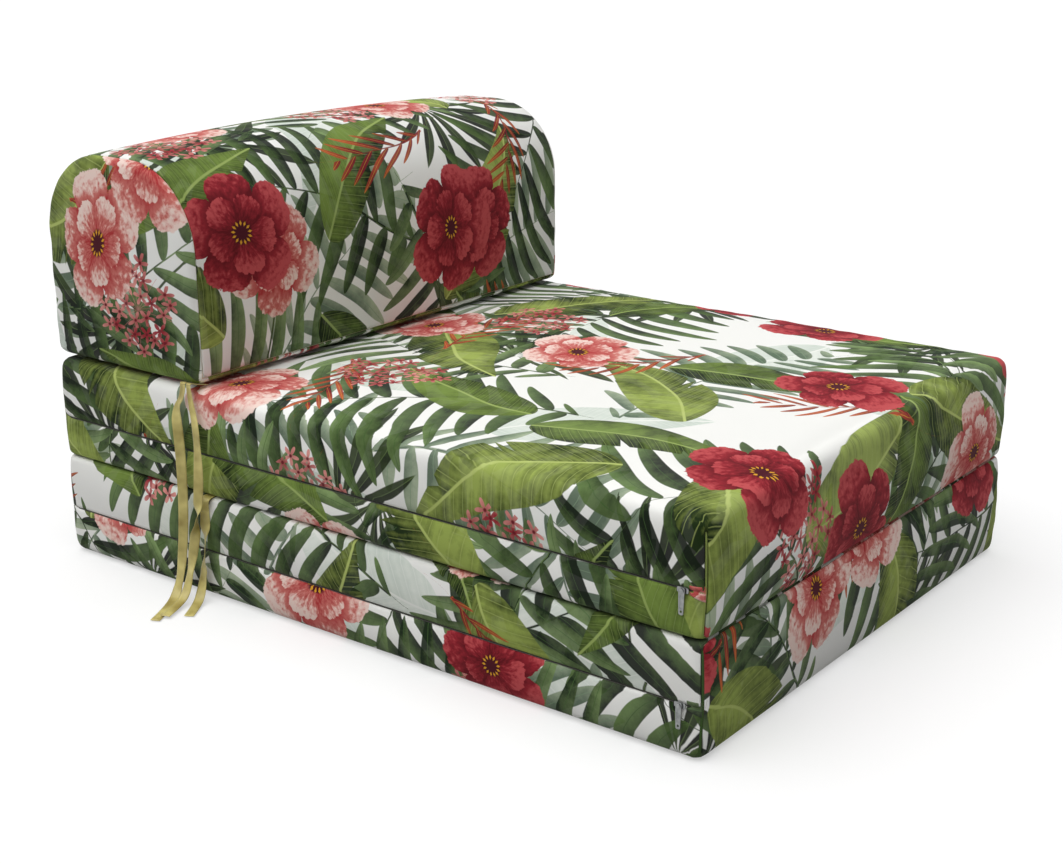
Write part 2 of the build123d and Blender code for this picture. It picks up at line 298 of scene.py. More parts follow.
def puff(cover, held, pressure):
    """Simulates a cover under pressure with its held points fixed, and keeps the shape it takes."""
    group = cover.vertex_groups.new(name="held")
    group.add(held, 1.0, "REPLACE")
    modifier = cover.modifiers.new("cloth", "CLOTH")
    cloth = modifier.settings
    cloth.quality = 5
    cloth.mass = 0.3
    cloth.tension_stiffness = 30
    cloth.compression_stiffness = 30
    cloth.shear_stiffness = 12
    cloth.bending_stiffness = 3
    cloth.use_pressure = True
    cloth.uniform_pressure_force = pressure
    cloth.effector_weights.gravity = 0
    cloth.vertex_group_mass = group.name
    modifier.collision_settings.use_collision = False
    modifier.point_cache.frame_start = 1
    modifier.point_cache.frame_end = PUFF_FRAMES
    scene = bpy.context.scene
    for number in range(1, PUFF_FRAMES + 1):
        scene.frame_set(number)
    puffed = cover.evaluated_get(bpy.context.evaluated_depsgraph_get()).data
    moves = []
    for start, end in zip(cover.data.vertices, puffed.vertices):
        move = end.co - start.co
        inwards = min(0.0, move.dot(start.normal))
        moves.append(move - start.normal * inwards)
    scene.frame_set(1)
    cover.modifiers.remove(modifier)
    cover.vertex_groups.remove(group)
    for vertex, move in zip(cover.data.vertices, moves):
        if move.length > PUFF_CAP:
            move.length = PUFF_CAP
        vertex.co += move
    print(cover.name, "puffed by up to", round(max(move.length for move in moves) / MM, 2), "mm")


def subdivided(cover):
    """The cover as a bmesh, one subdivision finer."""
    finer = cover.modifiers.new("finer", "SUBSURF")
    finer.levels = finer.render_levels = 1
    finer.uv_smooth = "NONE"
    depsgraph = bpy.context.evaluated_depsgraph_get()
    mesh = bpy.data.meshes.new_from_object(cover.evaluated_get(depsgraph), depsgraph=depsgraph)
    bm = bmesh.new()
    bm.from_mesh(mesh)
    bpy.data.meshes.remove(mesh)
    bpy.data.objects.remove(cover)
    return bm


# %% [markdown]
# ## The slabs' covers
# Each slab's cover is sewn from a top, a bottom, a right gusset and a rear gusset. On the left, the
# top and the bottom panel come round the edge and meet at the zip. The front belongs to the seat's top
# panel, and to the lower slab's bottom panel. The block is laid out as such a pattern before it is
# puffed: each face gets its panel's number, and the cloth map gives its place on the flat cloth in
# metres, so a print runs unbroken over an edge that has no seam.

# %% The slabs' sizes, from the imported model
SIDE_DRAW = 3 * MM
CORNER_RADIUS = 12 * MM
ZIP_SLOT = 1.2 * MM
SEAT_CROWN = 5 * MM
TOP, BOTTOM, RIGHT, REAR = range(4)
PANEL_NAMES = ["top", "bottom", "right", "rear"]
PANEL_SHIFTS = {"base": [(2.1, 0.3), (0.9, 1.7), (1.4, 3.3), (3.2, 2.6)],
                "seat": [(0.0, 0.0), (1.3, -0.6), (4.1, 0.7), (0.4, 2.9)]}
CAD_PANELS = ["top_panel", "bottom_panel", "right_gusset", "rear_gusset"]


def span(*nodes):
    """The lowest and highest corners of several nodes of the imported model."""
    boxes = [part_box(node) for node in nodes]
    low = Vector([min(box[0][axis] for box in boxes) for axis in range(3)])
    high = Vector([max(box[1][axis] for box in boxes) for axis in range(3)])
    return low, high


backrest_low, backrest_high = span("backrest_wrap_panel", "backrest_left_end_panel",
                                   "backrest_right_end_panel", "backrest_bottom_panel")
half_width = -span("base_top_panel")[0].x
half_depth = span("base_rear_gusset")[1].y
seam_x = half_width - 6 * MM
seam_y = half_depth - 6 * MM
backrest_front = backrest_low.y
SLABS = {
    "base": {"foot": 11 * MM, "top": 5 * MM, "crown": 0.0, "front_panel": BOTTOM},
    "seat": {"foot": 5 * MM, "top": 11 * MM, "crown": SEAT_CROWN, "front_panel": TOP},
}
for name, slab in SLABS.items():
    chain_low, chain_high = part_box(f"{name}_zip_chain")
    slab["low"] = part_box(f"{name}_bottom_panel")[0].z
    slab["high"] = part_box(f"{name}_rear_gusset")[1].z
    slab["zip"] = (chain_low.z + chain_high.z) / 2
    slab["zip_end"] = chain_high.y - 3 * MM
    print(name, "from", round(slab["low"], 4), "to", round(slab["high"], 4), "zip at", round(slab["zip"], 4))

# %% One slab's cover


def slab_panel(place, normal, slab):
    """The panel that a face of the slab's cover belongs to."""
    if place.x > seam_x:
        return RIGHT
    if place.x < -seam_x:
        return TOP if place.z > slab["zip"] else BOTTOM
    if place.y > seam_y:
        return REAR
    if place.y < -seam_y:
        return slab["front_panel"]
    return TOP if normal.z > 0 else BOTTOM


def slab_cloth_place(place, face_middle, panel, slab):
    """Where a point of the cover lies on its panel's flat cloth, before the cloth is bent."""
    if panel == RIGHT:
        return place.z, place.y
    if panel == REAR:
        return place.x, place.z
    radius = slab["top"] if panel == TOP else slab["foot"]
    if panel == TOP:
        down = slab["high"] - radius - place.z
    else:
        down = place.z - slab["low"] - radius
    turn_x = -(half_width - SIDE_DRAW) + radius
    turn_y = -(half_depth - SIDE_DRAW) + radius
    if face_middle.x < -seam_x:
        corner_x = turn_x - radius + CORNER_RADIUS
        corner_y = turn_y - radius + CORNER_RADIUS
        around = along_rounded_edge(corner_y - place.y, place.x - corner_x, CORNER_RADIUS)
        along = place.y if place.y > corner_y else corner_y - around
        return turn_x - along_rounded_edge(turn_x - place.x, down, radius), along
    if face_middle.y < -seam_y:
        return place.x, turn_y - along_rounded_edge(turn_y - place.y, down, radius)
    return place.x, place.y


def slab_cover(name, slab, material):
    """A slab's whole cover, laid out as its panels and swollen, ready to be puffed."""
    low = Vector((-half_width + SIDE_DRAW, -half_depth + SIDE_DRAW, slab["low"]))
    high = Vector((half_width - SIDE_DRAW, half_depth - SIDE_DRAW, slab["high"]))
    bm = block(low, high)
    near = 0.01 * MM
    round_edges(bm, CORNER_RADIUS, 4, lambda a, b: abs(a.z - b.z) > near)
    round_edges(bm, slab["top"], 3, lambda a, b: min(a.z, b.z) > high.z - near)
    round_edges(bm, slab["foot"], 3, lambda a, b: max(a.z, b.z) < low.z + near)
    inner_x = seam_x - SEAM_ROW
    inner_y = seam_y - SEAM_ROW
    cut_rows(bm, 0, [-seam_x, *rows(-inner_x, inner_x), seam_x])
    cut_rows(bm, 1, [-seam_y, *rows(-inner_y, inner_y), seam_y, -slab["zip_end"], slab["zip_end"]])
    lower_lip = slab["zip"] - ZIP_SLOT / 2
    upper_lip = slab["zip"] + ZIP_SLOT / 2
    cut_rows(bm, 2, rows(low.z + slab["foot"], lower_lip - SEAM_ROW) + [lower_lip, upper_lip])
    cut_rows(bm, 2, rows(upper_lip + SEAM_ROW, high.z - slab["top"]))
    bmesh.ops.remove_doubles(bm, verts=bm.verts, dist=0.05 * MM)
    slot = [
        face for face in bm.faces
        if face.calc_center_median().x < -seam_x
        and lower_lip < face.calc_center_median().z < upper_lip
        and abs(face.calc_center_median().y) < slab["zip_end"]
    ]
    bmesh.ops.delete(bm, geom=slot, context="FACES")
    bm.normal_update()

    panel_layer = bm.faces.layers.int.new("panel")
    cloth_map = bm.loops.layers.uv.new("cloth")
    for face in bm.faces:
        middle = face.calc_center_median()
        face[panel_layer] = slab_panel(middle, face.normal, slab)
        shift = Vector(PANEL_SHIFTS[name][face[panel_layer]])
        for loop in face.loops:
            place = slab_cloth_place(loop.vert.co, middle, face[panel_layer], slab)
            loop[cloth_map].uv = Vector(place) + shift

    for vert in bm.verts:
        x, y, z = vert.co
        normal = vert.normal.copy()
        if x < 0:
            lobe = bump_between(z, low.z, slab["zip"]) + bump_between(z, slab["zip"], high.z)
        else:
            lobe = bump_between(z, low.z, high.z)
        vert.co.x += normal.x * SIDE_DRAW * lobe * bump_between(y, low.y, high.y) ** 0.25
        vert.co.y += normal.y * SIDE_DRAW * bump_between(z, low.z, high.z)
        if normal.z > 0:
            crown = min(bump_between(x, low.x, high.x), bump_between(y, low.y, backrest_front))
            vert.co.z += normal.z * slab["crown"] * crown
    return add_object(f"{name}_cover", bm, material)


def seam_points(cover):
    """The points on the edges between two panels, and on open edges."""
    bm = bmesh.new()
    bm.from_mesh(cover.data)
    panel_layer = bm.faces.layers.int["panel"]
    found = set()
    for edge in bm.edges:
        if len(edge.link_faces) < 2 or edge.link_faces[0][panel_layer] != edge.link_faces[1][panel_layer]:
            found.update(vert.index for vert in edge.verts)
    bm.free()
    return found


SEAM_DEPTH = 1.8 * MM
LIP_DEPTH = 0.9 * MM
CLOTH_THICKNESS = 1.0 * MM


def sink_seams(bm):
    """Draws the cover in along its seams, and turns the lips beside the zip inwards."""
    panel_layer = bm.faces.layers.int["panel"]
    bm.normal_update()
    sunk = {}
    for edge in bm.edges:
        if len(edge.link_faces) < 2:
            depth = LIP_DEPTH
        elif edge.link_faces[0][panel_layer] != edge.link_faces[1][panel_layer]:
            depth = SEAM_DEPTH
        else:
            continue
        for vert in edge.verts:
            sunk[vert] = max(depth, sunk.get(vert, 0))
    for vert, depth in sunk.items():
        vert.co -= vert.normal * depth


PUCKER_DEPTH = 1.1 * MM
PUCKER_REACH = 18 * MM
PUCKER_PITCH = 17 * MM
PUCKER_START = 5 * MM


def pucker(bm):
    """Small gathers that run off every seam, square to it, and die away over a few centimetres."""
    panel_layer = bm.faces.layers.int["panel"]
    bm.normal_update()
    seam = {
        vert for edge in bm.edges for vert in edge.verts
        if len(edge.link_faces) < 2
        or edge.link_faces[0][panel_layer] != edge.link_faces[1][panel_layer]
    }
    tree = KDTree(len(seam))
    for number, vert in enumerate(seam):
        tree.insert(vert.co, number)
    tree.balance()
    moves = {}
    for vert in bm.verts:
        nearest, number, away = tree.find(vert.co)
        fade = math.exp(-away / PUCKER_REACH) * min(1.0, away / PUCKER_START)
        moves[vert] = vert.normal * PUCKER_DEPTH * fade * noise.noise(nearest / PUCKER_PITCH)
    for vert, move in moves.items():
        vert.co += move


def cut_out_panel(bm, panel, name, material):
    """One panel of a cover as its own piece, with the cloth's thickness inwards."""
    piece_bm = bm.copy()
    panel_layer = piece_bm.faces.layers.int["panel"]
    others = [face for face in piece_bm.faces if face[panel_layer] != panel]
    bmesh.ops.delete(piece_bm, geom=others, context="FACES")
    piece = add_object(name, piece_bm, material)
    wall = piece.modifiers.new("cloth_thickness", "SOLIDIFY")
    wall.thickness = CLOTH_THICKNESS
    wall.offset = -1
    return piece


# %% [markdown]
# ## The print
# The covers are printed with leaves and blossoms in the manner of a watercolour, on white cotton. The
# design here is a plain tropical one of our own: feather fronds, broad leaves, fan leaves, sprays of
# buds, clusters of small stars and double blossoms. A print could be an image, but a formula stays
# sharp at any distance and needs no file. Each motif is drawn once, as a group of nodes that turns a
# place in millimetres into a shape and its shading.

# %% Starting a group of nodes
def new_group(name, inputs, outputs):
    """A node group. Returns a function that adds to it, its inputs by name, and its output node."""
    tree = bpy.data.node_groups.new(name, "ShaderNodeTree")
    for in_out, sockets in (("INPUT", inputs), ("OUTPUT", outputs)):
        for socket_name, kind in sockets.items():
            tree.interface.new_socket(socket_name, in_out=in_out, socket_type=f"NodeSocket{kind}")
    given = tree.nodes.new("NodeGroupInput").outputs
    return partial(add_node, tree), {name: given[name] for name in inputs}, "NodeGroupOutput"


# %% [markdown]
# ## Scattering a motif
# A motif repeats over the cloth in square cells, one to a cell. Each cell has its own random numbers,
# which move and turn its motif, and leave some cells empty. Layers with other cells lie over each
# other, so the rows don't show.

# %% A motif's place in its cell
def scatter_group():
    add, given, end = new_group(
        "scattered_motif",
        {"Place": "Vector", "Cell": "Float", "Shift": "Vector", "Jitter": "Float"},
        {"Local": "Vector", "Random": "Vector", "Value": "Float"},
    )
    moved = add(VECTOR, given["Place"], given["Shift"], operation="ADD")
    per_cell = add(MATH, 1.0, given["Cell"], operation="DIVIDE")
    in_cells = add(VECTOR, moved, sockets={"Scale": per_cell}, operation="SCALE")
    cell = add(VECTOR, in_cells, operation="FLOOR")
    seeded = add(VECTOR, cell, given["Shift"], operation="ADD")
    white = add("ShaderNodeTexWhiteNoise", seeded, noise_dimensions="3D").node
    centred = add(VECTOR, white.outputs["Color"], (0.5, 0.5, 0.5), operation="SUBTRACT")
    jitter = add(VECTOR, centred, sockets={"Scale": given["Jitter"]}, operation="SCALE")
    inside = add(VECTOR, in_cells, cell, operation="SUBTRACT")
    inside = add(VECTOR, inside, (0.5, 0.5, 0.5), operation="SUBTRACT")
    inside = add(VECTOR, inside, jitter, operation="SUBTRACT")
    local = add(VECTOR, inside, sockets={"Scale": given["Cell"]}, operation="SCALE")
    local = add(VECTOR, local, (1.0, 1.0, 0.0), operation="MULTIPLY")
    angle = add(MATH, white.outputs["Value"], 2 * math.pi, operation="MULTIPLY")
    turned = add("ShaderNodeVectorRotate", local, sockets={"Angle": angle}, rotation_type="Z_AXIS")
    add(end, turned, white.outputs["Color"], white.outputs["Value"])


# %% [markdown]
# ## A feather frond
# A bent stem carries two rows of leaflets. How far along the stem a leaflet starts, and how far out
# along it a point lies, are worked out from the point's place: leaflets are the stripes of a slanted
# and curved comb, each with the outline of a lens, and shorter towards both ends of the frond.

# %% Feather frond
def frond_group():
    add, given, end = new_group(
        "feather_frond",
        {"Local": "Vector", "Length": "Float", "Reach": "Float", "Pitch": "Float", "Width": "Float",
         "Bend": "Float", "Slant": "Float", "Curl": "Float"},
        {"Mask": "Float", "Tone": "Float", "Line": "Float"},
    )
    split = add("ShaderNodeSeparateXYZ", given["Local"]).node
    x, y = split.outputs["X"], split.outputs["Y"]
    bent = add(MATH, add(MATH, x, x, operation="MULTIPLY"), given["Bend"], y, operation="MULTIPLY_ADD")
    out = add(MATH, bent, operation="ABSOLUTE")
    side = add(MATH, bent, 0.0, operation="GREATER_THAN")
    # The comb: where on the stem the leaflet under this point starts.
    root = add(MATH, out, given["Slant"], x, operation="MULTIPLY_ADD")
    root = add(MATH, add(MATH, out, out, operation="MULTIPLY"), given["Curl"], root, operation="MULTIPLY_ADD")
    number = add(MATH, root, given["Pitch"], operation="DIVIDE")
    number = add(MATH, side, 0.5, number, operation="MULTIPLY_ADD")
    across = add(MATH, add(MATH, number, operation="FRACT"), 0.5, operation="SUBTRACT")
    key = add(MATH, side, 37.0, add(MATH, number, operation="FLOOR"), operation="MULTIPLY_ADD")
    own = add("ShaderNodeTexWhiteNoise", sockets={"W": key}, noise_dimensions="1D")
    # How long that leaflet is, and how far out along it the point lies.
    share = add(MATH, add(MATH, root, given["Length"], operation="DIVIDE"), 0.5, operation="ADD")
    rest = add(MATH, 1.0, share, operation="SUBTRACT")
    arch = add(MATH, add(MATH, share, rest, operation="MULTIPLY"), 4.0, operation="MULTIPLY")
    arch = add(MATH, add(MATH, arch, 0.0001, operation="MAXIMUM"), 0.6, operation="POWER")
    long = add(MATH, add(MATH, own, 0.25, 0.85, operation="MULTIPLY_ADD"), arch, operation="MULTIPLY")
    far = add(MATH, out, add(MATH, long, given["Reach"], operation="MULTIPLY"), operation="DIVIDE")
    skewed = add(MATH, far, 0.75, operation="POWER")
    lens = add(MATH, skewed, add(MATH, 1.0, skewed, operation="SUBTRACT"), operation="MULTIPLY")
    lens = add(MATH, add(MATH, lens, 0.0, operation="MAXIMUM"), 0.55, operation="POWER")
    half = add(MATH, lens, add(MATH, given["Width"], 2.1, operation="MULTIPLY"), operation="MULTIPLY")
    margin = add(MATH, half, add(MATH, across, operation="ABSOLUTE"), operation="SUBTRACT")
    leaflet = add(MATH, add(MATH, margin, given["Pitch"], operation="MULTIPLY"), 1.3, -0.1,
                  operation="MULTIPLY_ADD", use_clamp=True)
    # The stem is thickest at its foot.
    along = add(MATH, add(MATH, x, given["Length"], operation="DIVIDE"), 0.5, operation="ADD")
    stem_half = add(MATH, along, -2.0, 2.2, operation="MULTIPLY_ADD")
    stem = add(MATH, add(MATH, stem_half, out, operation="SUBTRACT"), 1.2, operation="MULTIPLY", use_clamp=True)
    stem = add(MATH, stem, add(MATH, along, 0.0, operation="GREATER_THAN"), operation="MULTIPLY")
    mask = add(MATH, leaflet, stem, operation="MAXIMUM")
    # Each leaflet has its own depth of colour, runs paler to its tip, and is darker on one side.
    tone = add(MATH, own, 0.5, 0.1, operation="MULTIPLY_ADD")
    tone = add(MATH, across, 0.9, tone, operation="MULTIPLY_ADD")
    tone = add(MATH, far, 0.35, tone, operation="MULTIPLY_ADD")
    rib = add(MATH, add(MATH, across, operation="ABSOLUTE"), given["Pitch"], operation="MULTIPLY")
    rib = add(MATH, 1.0, add(MATH, rib, 1.8, operation="MULTIPLY"), operation="SUBTRACT", use_clamp=True)
    add(end, mask, tone, rib)


# %% [markdown]
# ## A broad leaf
# The blade is a pointed oval about a bent midrib, with slanted side veins. Like a banana leaf in the
# wind, it is torn here and there from its edge along a vein.

# %% Broad leaf
def leaf_group():
    add, given, end = new_group(
        "broad_leaf",
        {"Local": "Vector", "Length": "Float", "Reach": "Float", "Vein": "Float", "Bend": "Float",
         "Tears": "Float"},
        {"Mask": "Float", "Tone": "Float", "Line": "Float"},
    )
    split = add("ShaderNodeSeparateXYZ", given["Local"]).node
    x, y = split.outputs["X"], split.outputs["Y"]
    bent = add(MATH, add(MATH, x, x, operation="MULTIPLY"), given["Bend"], y, operation="MULTIPLY_ADD")
    out = add(MATH, bent, operation="ABSOLUTE")
    side = add(MATH, bent, 0.0, operation="GREATER_THAN")
    along = add(MATH, add(MATH, x, given["Length"], operation="DIVIDE"), 0.5, operation="ADD", use_clamp=True)
    skewed = add(MATH, along, 0.7, operation="POWER")
    arch = add(MATH, add(MATH, skewed, math.pi, operation="MULTIPLY"), operation="SINE")
    arch = add(MATH, add(MATH, arch, 0.0001, operation="MAXIMUM"), 0.85, operation="POWER")
    # Side veins, and the tears between some of them.
    root = add(MATH, out, -0.75, x, operation="MULTIPLY_ADD")
    number = add(MATH, root, given["Vein"], operation="DIVIDE")
    number = add(MATH, side, 0.5, number, operation="MULTIPLY_ADD")
    across = add(MATH, add(MATH, number, operation="FRACT"), 0.5, operation="SUBTRACT")
    from_vein = add(MATH, across, operation="ABSOLUTE")
    key = add(MATH, side, 41.0, add(MATH, number, operation="FLOOR"), operation="MULTIPLY_ADD")
    own = add("ShaderNodeTexWhiteNoise", sockets={"W": key}, noise_dimensions="1D")
    torn = add(MATH, own, given["Tears"], operation="LESS_THAN")
    gap = add(MATH, add(MATH, from_vein, -2.0, 1.0, operation="MULTIPLY_ADD"), torn, operation="MULTIPLY")
    edge = add(MATH, add(MATH, gap, -0.5, 1.0, operation="MULTIPLY_ADD"), arch, operation="MULTIPLY")
    edge = add(MATH, edge, given["Reach"], operation="MULTIPLY")
    inside = add(MATH, edge, out, operation="SUBTRACT")
    mask = add(MATH, inside, 1.2, -0.1, operation="MULTIPLY_ADD", use_clamp=True)
    # Paler towards the midrib and one side, with light lines for the midrib and the veins.
    tone = add(MATH, side, 0.3, add(MATH, own, 0.3, operation="MULTIPLY"), operation="MULTIPLY_ADD")
    tone = add(MATH, from_vein, 0.6, tone, operation="MULTIPLY_ADD")
    tone = add(MATH, add(MATH, inside, given["Reach"], operation="DIVIDE"), 0.35, tone, operation="MULTIPLY_ADD")
    vein = add(MATH, 1.0, add(MATH, from_vein, 14.0, operation="MULTIPLY"), operation="SUBTRACT", use_clamp=True)
    midrib = add(MATH, 1.9, out, operation="SUBTRACT", use_clamp=True)
    line = add(MATH, add(MATH, vein, 0.55, operation="MULTIPLY"), midrib, operation="MAXIMUM")
    add(end, mask, tone, line)


# %% [markdown]
# ## A fan leaf
# Blades spread from one point like the ribs of a fan. The angle round that point says which blade a
# place belongs to, and the distance says how far out it is.

# %% Fan leaf
def fan_group():
    add, given, end = new_group(
        "fan_leaf",
        {"Local": "Vector", "Reach": "Float", "Blades": "Float", "Width": "Float"},
        {"Mask": "Float", "Tone": "Float", "Line": "Float"},
    )
    split = add("ShaderNodeSeparateXYZ", given["Local"]).node
    x, y = split.outputs["X"], split.outputs["Y"]
    out = add(VECTOR, given["Local"], operation="LENGTH", output="Value")
    angle = add(MATH, y, x, operation="ARCTAN2")
    number = add(MATH, add(MATH, angle, 2 * math.pi, operation="DIVIDE"), given["Blades"], operation="MULTIPLY")
    # The blades droop, so a blade's angle changes a little on its way out.
    droop = add(MATH, add(MATH, angle, operation="SINE"), out, operation="MULTIPLY")
    number = add(MATH, droop, -0.006, number, operation="MULTIPLY_ADD")
    across = add(MATH, add(MATH, number, operation="FRACT"), 0.5, operation="SUBTRACT")
    own = add("ShaderNodeTexWhiteNoise", sockets={"W": add(MATH, number, operation="FLOOR")}, noise_dimensions="1D")
    reach = add(MATH, add(MATH, own, 0.35, 0.68, operation="MULTIPLY_ADD"), given["Reach"], operation="MULTIPLY")
    far = add(MATH, out, reach, operation="DIVIDE")
    taper = add(MATH, 1.0, add(MATH, far, 2.6, operation="POWER"), operation="SUBTRACT")
    half = add(MATH, taper, given["Width"], operation="MULTIPLY")
    margin = add(MATH, half, add(MATH, across, operation="ABSOLUTE"), operation="SUBTRACT")
    blade = add(MATH, add(MATH, out, given["Blades"], operation="DIVIDE"), 2 * math.pi, operation="MULTIPLY")
    inside = add(MATH, add(MATH, margin, blade, operation="MULTIPLY"), 1.2, -0.1, operation="MULTIPLY_ADD",
                 use_clamp=True)
    opening = add(MATH, add(MATH, angle, operation="ABSOLUTE"), 1.95, operation="LESS_THAN")
    mask = add(MATH, inside, opening, operation="MULTIPLY")
    stalk = add(MATH, 1.8, add(MATH, y, operation="ABSOLUTE"), operation="SUBTRACT", use_clamp=True)
    stalk = add(MATH, stalk, add(MATH, x, 0.0, operation="LESS_THAN"), operation="MULTIPLY")
    near = add(MATH, add(MATH, given["Reach"], out, operation="SUBTRACT"), 0.0, operation="GREATER_THAN")
    mask = add(MATH, mask, add(MATH, stalk, near, operation="MULTIPLY"), operation="MAXIMUM")
    tone = add(MATH, add(MATH, across, 0.0, operation="GREATER_THAN"), 0.35,
               add(MATH, own, 0.35, operation="MULTIPLY"), operation="MULTIPLY_ADD")
    tone = add(MATH, far, 0.3, tone, operation="MULTIPLY_ADD")
    fold = add(MATH, add(MATH, across, operation="ABSOLUTE"), blade, operation="MULTIPLY")
    fold = add(MATH, 1.0, add(MATH, fold, 1.6, operation="MULTIPLY"), operation="SUBTRACT", use_clamp=True)
    add(end, mask, tone, fold)


# %% [markdown]
# ## A double blossom
# Two rings of petals lie one on the other about a tuft of stamens. A petal is a rounded lobe of the
# angle round the middle. Fine streaks run out along it, its foot is dark and its edge is pale.

# %% Double blossom
def petal_ring(add, angle, out, ruffle, petals, offset, reach):
    """The margin to the edge of a ring of petals, and each petal's own shade."""
    number = add(MATH, angle, petals / (2 * math.pi), offset, operation="MULTIPLY_ADD")
    across = add(MATH, add(MATH, number, operation="FRACT"), 0.5, operation="SUBTRACT")
    key = add(MATH, add(MATH, number, operation="FLOOR"), float(petals), operation="FLOORED_MODULO")
    own = add("ShaderNodeTexWhiteNoise", sockets={"W": key}, noise_dimensions="1D")
    wide = add(MATH, add(MATH, across, operation="ABSOLUTE"), 2.0, operation="MULTIPLY")
    lobe = add(MATH, 1.0, add(MATH, add(MATH, wide, 3.4, operation="POWER"), 0.3, operation="MULTIPLY"),
               operation="SUBTRACT")
    lobe = add(MATH, lobe, add(MATH, own, 0.12, 0.9, operation="MULTIPLY_ADD"), operation="MULTIPLY")
    edge = add(MATH, lobe, reach, ruffle, operation="MULTIPLY_ADD")
    return add(MATH, edge, out, operation="SUBTRACT"), own, wide


def blossom_group():
    add, given, end = new_group(
        "double_blossom",
        {"Local": "Vector", "Reach": "Float", "Hue": "Float", "Deep": "Color", "Bright": "Color", "Pale": "Color"},
        {"Mask": "Float", "Color": "Color"},
    )
    split = add("ShaderNodeSeparateXYZ", given["Local"]).node
    x, y = split.outputs["X"], split.outputs["Y"]
    out = add(VECTOR, given["Local"], operation="LENGTH", output="Value")
    angle = add(MATH, y, x, operation="ARCTAN2")
    # Streaks are noise stretched outwards, in polar places.
    polar = add("ShaderNodeCombineXYZ", add(MATH, angle, operation="COSINE"), add(MATH, angle, operation="SINE"),
                add(MATH, out, 0.018, operation="MULTIPLY"))
    streaks = add("ShaderNodeTexNoise", polar, sockets={"Scale": 9.0, "Detail": 2.0, "Roughness": 0.6})
    ruffle = add(MATH, add(MATH, streaks, 0.5, operation="SUBTRACT"), 9.0, operation="MULTIPLY")
    outer, outer_own, outer_wide = petal_ring(add, angle, out, ruffle, 5, 0.0, given["Reach"])
    inner_reach = add(MATH, given["Reach"], 0.62, operation="MULTIPLY")
    inner, inner_own, inner_wide = petal_ring(add, angle, out, ruffle, 5, 0.45, inner_reach)
    mask = add(MATH, outer, 1.0, operation="MULTIPLY", use_clamp=True)
    top = add(MATH, inner, 1.0, operation="MULTIPLY", use_clamp=True)
    # Each ring is bright at its edge and deep at its foot and where its petals meet.
    rings = []
    for margin, own, wide, reach in (
        (outer, outer_own, outer_wide, given["Reach"]), (inner, inner_own, inner_wide, inner_reach)
    ):
        lift = add(MATH, add(MATH, out, reach, operation="DIVIDE"), 1.3, operation="POWER")
        lift = add(MATH, own, 0.3, lift, operation="MULTIPLY_ADD")
        lift = add(MATH, add(MATH, wide, 4.0, operation="POWER"), -0.45, lift, operation="MULTIPLY_ADD")
        lift = add(MATH, add(MATH, streaks, 0.5, operation="SUBTRACT"), 1.6, lift, operation="MULTIPLY_ADD")
        rings.append(add(MATH, lift, 0.1, operation="SUBTRACT", use_clamp=True))
    # The shade that the inner ring throws on the outer one.
    thrown = add(MATH, add(MATH, inner, 9.0, operation="ADD"), 9.0, operation="DIVIDE", use_clamp=True)
    shaded = add(MATH, rings[0], add(MATH, thrown, -0.55, 1.0, operation="MULTIPLY_ADD"), operation="MULTIPLY")
    lift = add(MIX, top, sockets={2: shaded, 3: rings[1]})
    colour = add(MIX, lift, output=2, data_type="RGBA", sockets={6: given["Deep"], 7: given["Bright"]})
    pale = add(MATH, add(MATH, lift, 0.55, operation="SUBTRACT"), 2.2, operation="MULTIPLY", use_clamp=True)
    pale = add(MATH, pale, given["Hue"], operation="MULTIPLY")
    colour = add(MIX, pale, output=2, data_type="RGBA", sockets={6: colour, 7: given["Pale"]})
    # The tuft: yellow stamens in a ring about a deep eye.
    eye = add(MATH, add(MATH, 13.0, out, operation="SUBTRACT"), 0.35, operation="MULTIPLY", use_clamp=True)
    colour = add(MIX, eye, output=2, data_type="RGBA", sockets={6: colour, 7: linear("#4a1420")})
    dots = add(MATH, add(MATH, angle, 13 / (2 * math.pi), operation="MULTIPLY"), operation="FRACT")
    dots = add(MATH, add(MATH, dots, 0.5, operation="SUBTRACT"), operation="ABSOLUTE")
    band = add(MATH, add(MATH, out, 9.5, operation="SUBTRACT"), operation="ABSOLUTE")
    tuft = add(MATH, 3.2, add(MATH, dots, 9.0, band, operation="MULTIPLY_ADD"), operation="SUBTRACT", use_clamp=True)
    colour = add(MIX, tuft, output=2, data_type="RGBA", sockets={6: colour, 7: linear("#e3a431")})
    add(end, mask, colour)


# %% [markdown]
# ## A cluster of stars
# Dozens of small four-petalled florets stand together in a rounded head. A Voronoi texture gives each
# floret its own middle, and only those middles that lie inside the head are drawn.

